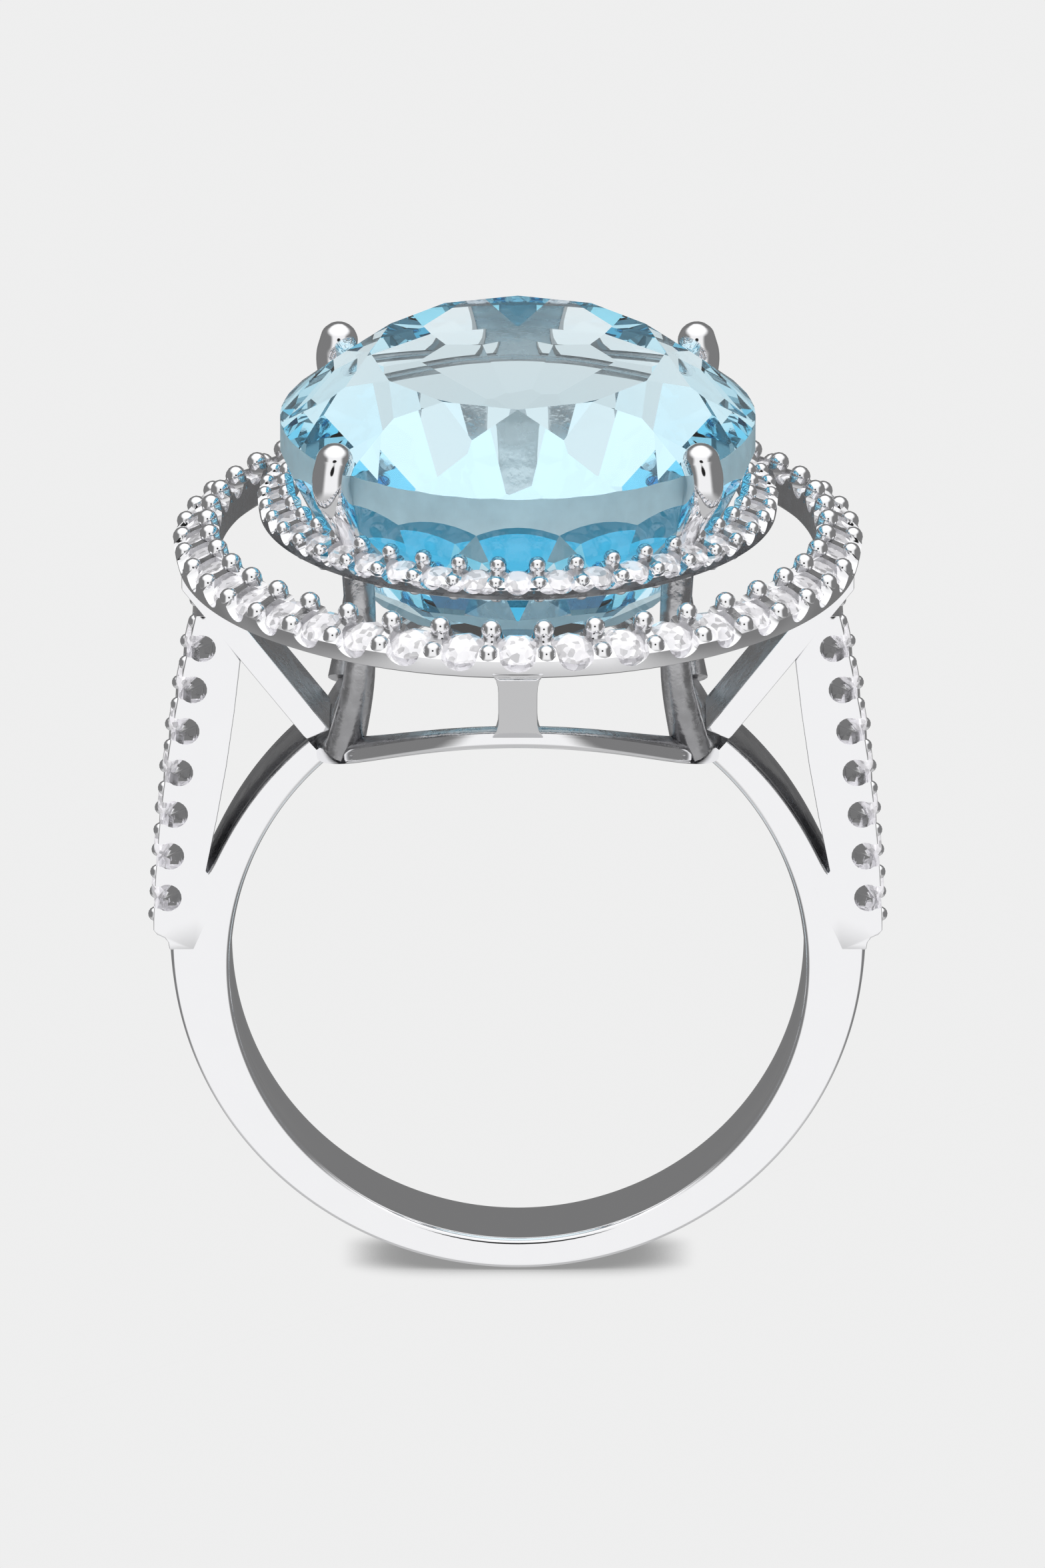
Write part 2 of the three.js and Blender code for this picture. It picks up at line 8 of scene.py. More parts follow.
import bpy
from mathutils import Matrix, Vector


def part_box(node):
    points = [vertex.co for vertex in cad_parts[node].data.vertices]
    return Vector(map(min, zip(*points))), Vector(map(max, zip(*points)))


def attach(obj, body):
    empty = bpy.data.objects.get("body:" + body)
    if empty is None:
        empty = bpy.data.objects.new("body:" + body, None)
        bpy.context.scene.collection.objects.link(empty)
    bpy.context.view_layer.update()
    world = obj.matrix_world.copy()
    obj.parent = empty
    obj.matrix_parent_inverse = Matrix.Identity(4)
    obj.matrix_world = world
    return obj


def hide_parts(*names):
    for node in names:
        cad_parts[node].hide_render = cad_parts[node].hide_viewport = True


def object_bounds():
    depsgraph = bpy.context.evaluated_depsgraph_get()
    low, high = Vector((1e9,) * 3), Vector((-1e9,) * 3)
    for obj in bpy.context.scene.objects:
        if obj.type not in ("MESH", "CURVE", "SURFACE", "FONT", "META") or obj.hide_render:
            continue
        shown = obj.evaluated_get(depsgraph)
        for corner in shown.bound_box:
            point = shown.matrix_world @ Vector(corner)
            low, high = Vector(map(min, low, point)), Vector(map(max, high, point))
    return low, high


bl_info = {
    "name": "Oval halo cocktail ring",
    "version": (1, 0, 0),
    "blender": (4, 5, 0),
    "location": "View3D > Sidebar > Ring",
    "description": "Models a cocktail ring with a blue oval stone, two stone-set halos and split shoulders",
    "category": "Object",
}

import functools
import math

import bmesh
import bpy
from mathutils import Matrix, Vector
from mathutils.kdtree import KDTree

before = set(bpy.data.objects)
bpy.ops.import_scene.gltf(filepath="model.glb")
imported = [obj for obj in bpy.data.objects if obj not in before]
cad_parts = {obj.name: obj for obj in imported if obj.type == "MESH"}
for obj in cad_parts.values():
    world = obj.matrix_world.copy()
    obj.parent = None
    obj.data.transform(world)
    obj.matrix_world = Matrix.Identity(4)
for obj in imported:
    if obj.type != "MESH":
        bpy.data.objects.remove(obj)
CAD_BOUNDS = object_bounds()

MM = 1000.0  # millimetres in a metre
SIDES = (("left", -1), ("right", 1))
ENDS = (("front", -1), ("back", 1))
STRIPS = 6  # each halo's stones are held in this many nodes
BLUE_IOR = 1.61
FIRST_TIER = math.radians(65)  # slope of the facets under the big stone's girdle
RAIL_WALL, RAIL_CLEARANCE, POST_THICKNESS = 0.62, 0.1, 0.72
ARM_PROUD, STRUT_PROUD = 0.004, 0.008  # past the band on each side, so that no faces coincide


def box_mm(node):
    """The lowest and highest corners of a CAD node, in millimetres."""
    low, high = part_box(node)
    return low * MM, high * MM


# ---------------------------------------------------------------- sizes and colours


def length(name, description, value_mm):
    """A size that a user can set. Blender shows it in the scene's units."""
    return bpy.props.FloatProperty(
        name=name, description=description, default=value_mm / MM, min=0.0, unit="LENGTH", precision=5
    )


def angle(name, description, degrees):
    return bpy.props.FloatProperty(
        name=name, description=description, default=math.radians(degrees), subtype="ANGLE"
    )


def colour(name, description, value):
    return bpy.props.FloatVectorProperty(
        name=name, description=description, default=value, size=3, min=0.0, max=1.0, subtype="COLOR"
    )


def share(name, description, value, highest=1.0):
    return bpy.props.FloatProperty(name=name, description=description, default=value, min=0.0, max=highest)


class RingBandSizes(bpy.types.PropertyGroup):
    finger_radius: length("Finger radius", "Half of the finger hole", 8.65)
    bottom: length("Bottom", "Thickness of the band at its bottom", 0.98)
    swell: length("Swell", "How much thicker the band is at its sides", 0.87)
    tip: length("Tip", "Thickness of the band where it meets the gallery", 0.9)
    split_depth: length("Split depth", "Thickness of the band under the shoulder window", 1.2)
    gallery_angle: angle("Gallery angle", "Where the band stops, above horizontal", 48.5)
    split_angle: angle("Split angle", "The bottom of the shoulder window, above horizontal", 17.7)
    foot_angle: angle("Foot angle", "The arm's lower end, above horizontal", 7.6)
    inner_round: length("Inner rounding", "Rounding of the finger hole's edges", 0.21)
    outer_round: length("Outer rounding", "Rounding of the outer edges", 0.1)
    crown: length("Crown", "How far the outside bulges across its width", 0.06)
    arm_proud: length("Arm foot", "How far the arm's foot stands out of the band", 0.48)
    arm_bulge: length("Arm bow", "How far the arm's face bows outwards", 0.6)
    arm_headroom: length("Arm headroom", "From the arm's top up to the outer halo", 0.7)
    arm_top: length("Arm top", "Height of the arm's joint with the strut", 1.4)
    strut: length("Strut", "Thickness of the diagonal strut", 0.75)
    strut_foot: length("Strut foot", "How far the strut's foot is out from the finger hole", 0.48)
    strut_foot_angle: angle("Strut foot angle", "The strut's foot, above horizontal", 50.6)
    strut_overhang: length("Strut overhang", "Reach of the strut beyond the halo's line of stones", 0.3)
    edge: length("Edge", "Rounding of sharp polished edges", 0.045)


class RingHaloSizes(bpy.types.PropertyGroup):
    stones: bpy.props.IntProperty(name="Stones", description="Stones in each halo", default=42, min=12)
    claw_rise: length("Claw rise", "How far the rim stands above the stones' tops", 0.05)
    outer_wall: length("Outer halo wall", "Half the width of the outer halo", 0.62)
    inner_wall: length("Inner halo wall", "Half the width of the inner halo", 0.48)
    outer_gap: length("Outer gap", "Gap between stones of the outer halo", 0.295)
    inner_gap: length("Inner gap", "Gap between stones of the inner halo", 0.245)
    outer_tilt: angle("Outer tilt", "How far the outer halo leans outwards", 24)
    inner_tilt: angle("Inner tilt", "How far the inner halo leans outwards", 18)
    outer_bead: length("Outer bead", "Radius of the beads on the outer halo's inner edge", 0.31)
    inner_bead: length("Inner bead", "Radius of the beads on the inner halo's inner edge", 0.26)
    outer_dome: length("Outer dome", "Radius of the domes on the outer halo's outer edge", 0.3)
    inner_dome: length("Inner dome", "Radius of the domes on the inner halo's outer edge", 0.24)
    arm_bead: length("Arm bead", "Radius of the beads on the shoulder arms", 0.23)
    arm_bead_row: length("Arm bead row", "From the middle of the arm to a row of beads", 1.13)
    arm_stones: bpy.props.IntProperty(name="Arm stones", description="Stones on each arm", default=7, min=3)
    arm_gap: length("Arm gap", "Gap between stones of an arm", 0.19)
    arm_first: length("First stone", "From the arm's foot to its first stone", 1.05)
    arm_last: length("Last stone", "From the last stone to the arm's top", 1.55)


class RingStoneSizes(bpy.types.PropertyGroup):
    table_x: length("Table X", "Half the table's width", 4.43)
    table_y: length("Table Y", "Half the table's length", 6.2)
    crown: length("Crown", "Height of the crown", 1.965)
    girdle: length("Girdle", "Height of the frosted girdle", 0.85)
    upper: length("Upper pavilion", "Height of the first facets under the girdle", 1.28)
    lower: length("Lower pavilion", "Height of the flat facets down to the culet", 2.6)
    draw_in: length("Pavilion draw-in", "How far the steep facets draw in", 2.12)
    prong: length("Prong", "Radius of a prong's tip", 0.58)
    waist: length("Prong waist", "Radius of a prong beside the inner halo", 0.46)


class RingFinish(bpy.types.PropertyGroup):
    metal: colour("Metal", "Polished white metal", (0.885, 0.885, 0.9))
    # Unpolished metal for the inside of the mount; its darker colour is also painted shade in the recesses
    # where it is given.
    cast: colour("Cast metal", "Unpolished white metal inside the mount", (0.56, 0.56, 0.575))
    blue: colour("Blue stone", "Body colour of the big stone", (0.02, 0.72, 0.93))
    # Painted shade: a deeper blue for the facets under the big stone's girdle.
    painted_deep: colour("Deep blue", "Facets under the big stone's girdle", (0.12, 0.62, 0.92))
    girdle: colour("Girdle", "Frosted edge of the big stone", (0.42, 0.63, 0.72))
    white: colour("White stone", "Tint of the small stones", (0.985, 0.975, 1.0))
    floor: share("Floor", "Lightness of the floor", 0.86)


def settings():
    scene = bpy.context.scene
    return scene.ring_band, scene.ring_halo, scene.ring_stone, scene.ring_finish


# ---------------------------------------------------------------- bench tools


def clear_bench():
    """Object mode, with nothing selected."""
    if bpy.context.object and bpy.context.object.mode != "OBJECT":
        bpy.ops.object.mode_set(mode="OBJECT")
    bpy.ops.object.select_all(action="DESELECT")


def take(*pieces):
    """Select these pieces and nothing else. The first is the active one."""
    clear_bench()
    for piece in pieces:
        piece.select_set(True)
    bpy.context.view_layer.objects.active = pieces[0]
    return pieces[0]


def added(name):
    """The primitive that was just added, with its place in its mesh."""
    bpy.ops.object.transform_apply(location=True, rotation=True, scale=True)
    piece = bpy.context.object
    piece.name = name
    piece.data.name = name
    return piece


def edit(piece, select="SELECT", mode="FACE"):
    take(piece)
    bpy.ops.object.mode_set(mode="EDIT")
    bpy.ops.mesh.select_mode(type=mode)
    bpy.ops.mesh.select_all(action=select)


def done_editing():
    bpy.ops.mesh.select_all(action="SELECT")
    bpy.ops.mesh.normals_make_consistent(inside=False)
    bpy.ops.object.mode_set(mode="OBJECT")


def pick_faces(piece, wanted):
    """Edit mode: select the faces that pass the test, given each one's centre and normal."""
    mesh = bmesh.from_edit_mesh(piece.data)
    mesh.normal_update()
    for face in mesh.faces:
        face.select_set(wanted(face.calc_center_median(), face.normal))
    bmesh.update_edit_mesh(piece.data)


def push(x=0.0, y=0.0, z=0.0):
    bpy.ops.mesh.extrude_region_move(TRANSFORM_OT_translate={"value": (x, y, z)})


def grow(x=1.0, y=1.0, z=1.0, centre=(0, 0, 0)):
    bpy.ops.transform.resize(value=(x, y, z), center_override=centre)


def apply_modifier(piece, kind, **values):
    take(piece)
    modifier = piece.modifiers.new(kind.lower(), kind)
    for key, value in values.items():
        setattr(modifier, key, value)
    bpy.ops.object.modifier_apply(modifier=modifier.name)


def shape_with(piece, tool, operation="DIFFERENCE"):
    """Cut the piece with the tool, or join or intersect them, and put the tool away."""
    apply_modifier(piece, "BOOLEAN", object=tool, operation=operation, solver="EXACT")
    bpy.data.objects.remove(tool)
    if not piece.data.polygons:
        raise RuntimeError(f"nothing is left of {piece.name} after a cut")


def round_edges(piece, width, segments=2, degrees=30):
    apply_modifier(
        piece, "BEVEL", width=width, segments=segments, limit_method="ANGLE",
        angle_limit=math.radians(degrees), use_clamp_overlap=True,
    )


def copies(pattern, places, name):
    """A copy of the pattern at each place, joined in one piece. The pattern is left as it is."""
    made = []
    for place in places:
        copy = pattern.copy()
        copy.data = pattern.data.copy()
        copy.data.transform(place)
        bpy.context.scene.collection.objects.link(copy)
        made.append(copy)
    take(*made)
    if len(made) > 1:
        bpy.ops.object.join()
    piece = bpy.context.object
    piece.name = name
    piece.data.name = name
    return piece


def joined(*pieces):
    take(*pieces)
    bpy.ops.object.join()
    return pieces[0]


def put_away(*pieces):
    for piece in pieces:
        bpy.data.objects.remove(piece)


def plate(name, outline, low_y, high_y):
    """A flat plate: a filled circle whose corners go to the outline's points, made thick along Y."""
    clear_bench()
    bpy.ops.mesh.primitive_circle_add(vertices=len(outline), radius=1, fill_type="NGON")
    piece = added(name)
    for corner, (x, z) in zip(piece.data.vertices, outline):
        corner.co = (x, low_y, z)
    edit(piece)
    push(y=high_y - low_y)
    done_editing()
    return piece


def set_on_frame(piece, nodes, materials, smooth=30, weigh=True):
    """Bring a finished piece to metres, shade it, and give it its finish and its place in the frame."""
    take(piece)
    piece.scale = (1 / MM,) * 3
    bpy.ops.object.transform_apply(location=True, rotation=True, scale=True)
    for material in materials:
        piece.data.materials.append(material)
    if smooth:
        bpy.ops.object.shade_smooth_by_angle(angle=math.radians(smooth))
        if weigh:
            apply_modifier(piece, "WEIGHTED_NORMAL", keep_sharp=True, weight=90)
    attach(piece, "root")
    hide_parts(*nodes)
    return piece


def finish_faces(piece, index, wanted):
    """Give the faces that pass the test the finish of that index."""
    for face in piece.data.polygons:
        if wanted(face.center, face.normal):
            face.material_index = index


# ---------------------------------------------------------------- lines that pieces share


def polar(radius, turn, side=1):
    """A point of the front view, as X and Z."""
    return Vector((side * radius * math.cos(turn), radius * math.sin(turn)))


@functools.lru_cache(maxsize=None)
def oval_places(half_x, half_y, count, offset=0.0):
    """Points evenly spaced along an oval from its front, each with its outward direction."""
    steps = 4000
    points = []
    for step in range(steps + 1):
        turn = 2 * math.pi * step / steps - math.pi / 2
        points.append((half_x * math.cos(turn), half_y * math.sin(turn)))
    run = [0.0]
    for before, after in zip(points, points[1:]):
        run.append(run[-1] + math.dist(before, after))
    places = []
    step = 0
    for index in range(count):
        target = run[-1] * ((index + offset) % count) / count
        step = 0 if target < run[step] else step
        while run[step + 1] < target:
            step += 1
        x, y = points[step]
        outward = Vector((x / half_x**2, y / half_y**2, 0)).normalized()
        places.append((Vector((x, y, 0)), outward))
    return places


@functools.lru_cache(maxsize=None)
def oval_length(half_x, half_y):
    places = oval_places(half_x, half_y, 720)
    return sum((a[0] - b[0]).length for a, b in zip(places, places[1:] + places[:1]))


def facing(place, forward, up=Vector((0, 0, 1))):
    """A place whose Y points forward and whose Z points up as nearly as it can."""
    y = forward.normalized()
    x = y.cross(up).normalized()
    z = x.cross(y)
    turn = Matrix((x, y, z)).transposed().to_4x4()
    return Matrix.Translation(place) @ turn


def leaning(line, point, outward):
    """The place of a halo's stone, whose Y points outwards and down by the halo's tilt."""
    forward = outward * math.cos(line["tilt"]) - Vector((0, 0, math.sin(line["tilt"])))
    return facing(point + Vector((0, 0, line["top"])), forward)


def halo(name):
    """The line of stones of a halo, from its CAD node."""
    _, sizes, _, _ = settings()
    outer = name == "outer"
    low, high = box_mm(f"{name}_halo_frame")
    wall = (sizes.outer_wall if outer else sizes.inner_wall) * MM
    gap = (sizes.outer_gap if outer else sizes.inner_gap) * MM
    half_x, half_y = high.x - wall, high.y - wall
    tilt = sizes.outer_tilt if outer else sizes.inner_tilt
    rim = high.z - wall * math.tan(tilt)
    return {
        "x": half_x, "y": half_y, "wall": wall, "bottom": low.z, "rim": rim, "tilt": tilt,
        "top": rim - sizes.claw_rise * MM, "bead": (sizes.outer_bead if outer else sizes.inner_bead) * MM,
        "dome": (sizes.outer_dome if outer else sizes.inner_dome) * MM,
        "stone": (oval_length(half_x, half_y) / sizes.stones - gap) / 2,
    }


def arm_line():
    """Points of an arm's stone-set face in the front view, on the right, from its foot to its top."""
    band, _, _, _ = settings()
    outer = halo("outer")
    foot_z = band.finger_radius * MM * math.sin(band.foot_angle)
    foot_x = band_foot().x + band.arm_proud * MM
    start = Vector((foot_x, foot_z))
    end = Vector((outer["x"] - 0.15, outer["bottom"] - band.arm_headroom * MM))
    middle = (start + end) / 2 + Vector((band.arm_bulge * MM, 0))
    steps = 400
    points = []
    for step in range(steps + 1):
        t = step / steps
        points.append((1 - t) ** 2 * start + 2 * t * (1 - t) * middle + t * t * end)
    return points


def along(points, distance):
    """The point at a distance along a line of points, and its direction there."""
    for before, after in zip(points, points[1:]):
        step = (after - before).length
        if distance <= step:
            return before + (after - before) * distance / step, (after - before).normalized()
        distance -= step
    return points[-1], (points[-1] - points[-2]).normalized()


def line_length(points):
    return sum((b - a).length for a, b in zip(points, points[1:]))


def arm_places(offset=0.0, extra=0):
    """Places of the stones along an arm's face, on the right, and the outward direction of each."""
    _, sizes, _, _ = settings()
    line = arm_line()
    first, last = sizes.arm_first * MM, sizes.arm_last * MM
    pitch = (line_length(line) - first - last) / (sizes.arm_stones - 1)
    places = []
    for index in range(sizes.arm_stones + extra):
        point, direction = along(line, first + (index + offset) * pitch)
        places.append((point, Vector((direction.y, -direction.x))))
    return places, (pitch - sizes.arm_gap * MM) / 2


def on_arm(point, outward, side, across=0.0, lift=0.0):
    """A place on an arm's face, whose Z points out of the face and whose Y is the finger's axis."""
    up = Vector((side * outward.x, 0, outward.y))
    axis = Vector((0, 1, 0))
    turn = Matrix((axis.cross(up), axis, up)).transposed().to_4x4()
    return Matrix.Translation(Vector((side * point.x, across, point.y)) + up * lift) @ turn


def band_foot():
    """Where the arm's foot meets the outside of the band."""
    band, _, _, _ = settings()
    outer = (band.finger_radius + band.bottom + band.swell) * MM
    foot_z = band.finger_radius * MM * math.sin(band.foot_angle)
    return Vector((math.sqrt(outer**2 - (foot_z - band.swell * MM) ** 2), foot_z))


def split_point():
    """The bottom of the shoulder window."""
    band, _, _, _ = settings()
    return polar((band.finger_radius + band.split_depth) * MM, band.split_angle)


def strut_edge(offset, height):
    """A point at a height on a line beside the strut's middle; negative offsets face the arm."""
    band, _, _, _ = settings()
    outer = halo("outer")
    foot = polar((band.finger_radius + band.strut_foot) * MM, band.strut_foot_angle)
    top = Vector((outer["x"] + band.strut_overhang * MM, outer["bottom"]))
    direction = (top - foot).normalized()
    inward = Vector((-direction.y, direction.x))
    start = foot + inward * offset
    return start + direction * (height - start.y) / direction.y


# ---------------------------------------------------------------- finishes


def tree_of(material):
    material.use_nodes = True
    tree = material.node_tree
    return tree, tree.nodes["Principled BSDF"]


def set_inputs(tree, node, inputs):
    """Set each input to its constant, or link it where it is given a socket."""
    for label, value in inputs.items():
        if isinstance(value, bpy.types.NodeSocket):
            tree.links.new(value, node.inputs[label])
        else:
            node.inputs[label].default_value = value


def node_in(tree, kind, inputs, **values):
    """A new shader node, with its own settings and its inputs."""
    node = tree.nodes.new(f"ShaderNode{kind}")
    for key, value in values.items():
        setattr(node, key, value)
    set_inputs(tree, node, inputs)
    return node


def ramp_of(tree, value, low, high, dark, light):
    """A smooth step of a value between two limits."""
    limits = {"Value": value, "From Min": low, "From Max": high, "To Min": dark, "To Max": light}
    return node_in(tree, "MapRange", limits, interpolation_type="SMOOTHSTEP").outputs["Result"]


def worked_out(tree, operation, first, second=0.0):
    """The result of a Math node."""
    return node_in(tree, "Math", {0: first, 1: second}, operation=operation).outputs["Value"]


def blend_to(tree, base, target, mask):
    """base where the mask is 0, and target where it is 1."""
    return node_in(tree, "Mix", {"A": base, "B": target, "Factor": mask}).outputs["Result"]


def blend_colours(tree, low, high, mask):
    """A colour that goes from low to high with the mask."""
    inputs = {"A": (*low, 1), "B": (*high, 1), "Factor": mask}
    return node_in(tree, "Mix", inputs, data_type="RGBA").outputs["Result"]


def marks_group():
    """Fine wandering polish lines and a soft unevenness, shared by every metal and the girdle."""
    name = "surface_marks"
    if name in bpy.data.node_groups:
        return bpy.data.node_groups[name]
    group = bpy.data.node_groups.new(name, "ShaderNodeTree")
    defaults = {"Scale": 900.0, "Low": 0.03, "High": 0.09, "Depth": 0.02, "Waves": 0.1}
    for label, default in defaults.items():
        socket = group.interface.new_socket(label, in_out="INPUT", socket_type="NodeSocketFloat")
        socket.default_value = default
    for label, kind in (("Roughness", "Float"), ("Mask", "Float"), ("Normal", "Vector")):
        group.interface.new_socket(label, in_out="OUTPUT", socket_type=f"NodeSocket{kind}")
    given = group.nodes.new("NodeGroupInput").outputs
    place = node_in(group, "TexCoord", {}).outputs["Object"]
    fine = {"Vector": place, "Scale": given["Scale"], "Detail": 4.0}
    fine = node_in(group, "TexNoise", fine).outputs["Fac"]
    soft = {"Vector": place, "Scale": 260.0, "Detail": 1.0}
    soft = node_in(group, "TexNoise", soft).outputs["Fac"]
    limits = {
        "Value": fine, "From Min": 0.35, "From Max": 0.7, "To Min": given["Low"], "To Max": given["High"],
    }
    roughness = node_in(group, "MapRange", limits).outputs["Result"]
    wide = {"Distance": 0.0004, "Strength": given["Waves"], "Height": soft}
    wide = node_in(group, "Bump", wide).outputs["Normal"]
    bump = {"Distance": 0.0002, "Strength": given["Depth"], "Height": fine, "Normal": wide}
    bump = node_in(group, "Bump", bump).outputs["Normal"]
    results = {"Roughness": roughness, "Mask": fine, "Normal": bump}
    set_inputs(group, group.nodes.new("NodeGroupOutput"), results)
    return group


def with_marks(tree, shader, low, high, **values):
    """Mark the surface, and let its colour wander between two values with the marks."""
    marks = node_in(tree, "Group", {}, node_tree=marks_group())
    set_inputs(tree, marks, values)
    tint = blend_colours(tree, low, high, marks.outputs["Mask"])
    wanted = {"Roughness": marks.outputs["Roughness"], "Normal": marks.outputs["Normal"], "Base Color": tint}
    set_inputs(tree, shader, wanted)


def made(name, recipe):
    """The material of that name, made by its recipe the first time."""
    if name in bpy.data.materials:
        return bpy.data.materials[name]
    material = bpy.data.materials.new(name)
    tree, shader = tree_of(material)
    recipe(tree, shader, settings()[3])
    return material


def polished_metal():
    def recipe(tree, shader, finish):
        base = Vector(finish.metal)
        set_inputs(tree, shader, {"Metallic": 1.0})
        with_marks(
            tree, shader, base * 0.98, base, Scale=1400.0, Low=0.02, High=0.06, Depth=0.012, Waves=0.05
        )

    return made("polished_white_metal", recipe)


def cast_metal_and_shade():
    def recipe(tree, shader, finish):
        # Rougher unpolished metal, darker than the polished one: painted shade for the recesses, windows and
        # undersides where it is given.
        base = Vector(finish.cast)
        set_inputs(tree, shader, {"Metallic": 1.0})
        with_marks(
            tree, shader, base * 0.65, base * 1.2, Scale=1500.0, Low=0.18, High=0.4, Depth=0.35, Waves=0.45
        )

    return made("cast_metal_painted_shade", recipe)


def metals():
    """The two finishes of every metal piece: 0 is polished and 1 is unpolished as it came from the mould,
    rougher and darker, its darkness a painted shade where it is given.
    """
    return [polished_metal(), cast_metal_and_shade()]


def clear_blue(tree, shader, tint, finish):
    """Clear glass whose colour comes from the length of the light's way through it."""
    set_inputs(tree, shader, {
        "Base Color": (*tint, 1), "Roughness": 0.0, "IOR": BLUE_IOR, "Transmission Weight": 1.0,
    })
    volume = node_in(tree, "VolumeAbsorption", {"Color": (*finish.blue, 1), "Density": 22.0})
    set_inputs(tree, tree.nodes["Material Output"], {"Volume": volume.outputs["Volume"]})


def blue_glass():
    def recipe(tree, shader, finish):
        clear_blue(tree, shader, (0.97, 0.99, 1.0), finish)

    return made("blue_stone_polished", recipe)


def painted_deep_blue_glass():
    """The ring of facets under the girdle, which shows the strongest colour, painted as shade: a deeper blue
    copy of the same glass.
    """

    def recipe(tree, shader, finish):
        clear_blue(tree, shader, finish.painted_deep, finish)

    return made("blue_stone_painted_deep", recipe)


def frosted_girdle():
    def recipe(tree, shader, finish):
        base = Vector(finish.girdle)
        set_inputs(tree, shader, {"IOR": BLUE_IOR, "Transmission Weight": 0.35})
        with_marks(
            tree, shader, base * 0.85, base * 1.25, Scale=1500.0, Low=0.3, High=0.5, Depth=0.12, Waves=0.1
        )

    return made("blue_stone_girdle", recipe)


def white_glass():
    """Patches of light and dark, and a faint glow, stand for the light that small facets return."""

    def recipe(tree, shader, finish):
        white = Vector(finish.white)
        place = node_in(tree, "TexCoord", {}).outputs["Object"]
        sparks = node_in(tree, "TexVoronoi", {"Scale": 5200.0, "Vector": place}).outputs["Color"]
        tint = blend_colours(tree, white * 0.5, white, ramp_of(tree, sparks, 0.22, 0.5, 0, 1))
        set_inputs(tree, shader, {
            "Roughness": 0.0, "IOR": 1.9, "Transmission Weight": 0.5, "Coat Weight": 1.0, "Coat IOR": 2.0,
            "Emission Strength": 0.26, "Base Color": tint, "Emission Color": tint,
        })

    return made("white_stone_polished", recipe)


# ---------------------------------------------------------------- band and shoulders


def outside_radius(turn):
    """The radius of the band's outside at an angle above horizontal, on either side."""
    band, _, _, _ = settings()
    finger, swell = band.finger_radius * MM, band.swell * MM
    outer = finger + band.bottom * MM + swell
    foot = band_foot()
    foot_turn = math.atan2(foot.y, foot.x)
    if turn <= foot_turn:
        return swell * math.sin(turn) + math.sqrt(outer**2 - (swell * math.cos(turn)) ** 2)
    split = band.split_angle
    split_radius = finger + band.split_depth * MM
    if turn <= split:
        return foot.length + (split_radius - foot.length) * (turn - foot_turn) / (split - foot_turn)
    part = min(1.0, (turn - split) / (band.gallery_angle - split))
    return split_radius + (finger + band.tip * MM - split_radius) * math.sqrt(part)


def model_band():
    """A rounded section at the right-hand end, spun round the finger, then swelled at the sides."""
    band, _, _, _ = settings()
    low, high = box_mm("shank")
    finger, thick, width = band.finger_radius * MM, band.bottom * MM, high.y - low.y
    start = band.gallery_angle
    middle = finger + thick / 2
    clear_bench()
    bpy.ops.mesh.primitive_plane_add(size=1)
    piece = added("band")
    for corner in piece.data.vertices:
        corner.co = (middle + corner.co.x * thick, corner.co.y * width, 0)
    edit(piece, "DESELECT", "VERT")
    for side, rounding, segments in ((-1, band.inner_round, 5), (1, band.outer_round, 3)):
        mesh = bmesh.from_edit_mesh(piece.data)
        for corner in mesh.verts:
            edge_x = middle + side * thick / 2
            corner.select_set(abs(corner.co.x - edge_x) < 1e-4 and abs(abs(corner.co.y) - width / 2) < 1e-4)
        bmesh.update_edit_mesh(piece.data)
        bpy.ops.mesh.bevel(offset=rounding * MM, segments=segments, affect="VERTICES")
    bpy.ops.mesh.select_mode(type="EDGE")
    mesh = bmesh.from_edit_mesh(piece.data)
    for edge in mesh.edges:
        edge.select_set(edge.calc_length() > width / 2)
    bmesh.update_edit_mesh(piece.data)
    bpy.ops.mesh.subdivide(number_cuts=9)
    mesh = bmesh.from_edit_mesh(piece.data)
    for corner in mesh.verts:
        reach = 1 - (2 * corner.co.y / width) ** 2
        if corner.co.x > middle:
            corner.co.x -= band.crown * MM * (1 - reach)
    bmesh.update_edit_mesh(piece.data)
    bpy.ops.mesh.select_mode(type="FACE")
    bpy.ops.mesh.select_all(action="SELECT")
    bpy.ops.transform.rotate(value=start, orient_axis="Y", center_override=(0, 0, 0))
    mesh = bmesh.from_edit_mesh(piece.data)
    if sum(corner.co.z for corner in mesh.verts) < 0:
        for corner in mesh.verts:
            corner.co.z = -corner.co.z
        bmesh.update_edit_mesh(piece.data)
    bpy.ops.mesh.spin(steps=200, angle=math.pi + 2 * start, center=(0, 0, 0), axis=(0, -1, 0))
    done_editing()
    reached = max(corner.co.z for corner in piece.data.vertices)
    if reached > finger:
        raise RuntimeError("the band was spun over the finger instead of under it")
    for corner in piece.data.vertices:
        radius = math.hypot(corner.co.x, corner.co.z)
        turn = math.atan2(corner.co.z, abs(corner.co.x))
        out = outside_radius(turn) - finger
        inner, outer = finger + band.inner_round * MM, finger + thick - (band.outer_round + band.crown) * MM
        part = (radius - inner) / (outer - inner)
        moved = radius + (out - thick) * min(1.0, max(0.0, part))
        corner.co.x *= moved / radius
        corner.co.z *= moved / radius
    hollow_band(piece, finger, width)
    ridge_window(piece, finger, width)
    return piece


def ridge_window(piece, finger, width):
    """Two shallow grooves along the band's outside in the shoulder window, left from the casting."""
    band, _, _, _ = settings()
    for corner in piece.data.vertices:
        radius = math.hypot(corner.co.x, corner.co.z)
        turn = math.degrees(math.atan2(corner.co.z, abs(corner.co.x)) - band.split_angle)
        if turn < 1 or radius < finger + 0.5:
            continue
        depth = 0.14 * min(1.0, turn / 6) * math.exp(-(((abs(corner.co.y) - 0.28 * width) / 0.25) ** 2))
        corner.co.x *= (radius - depth) / radius
        corner.co.z *= (radius - depth) / radius


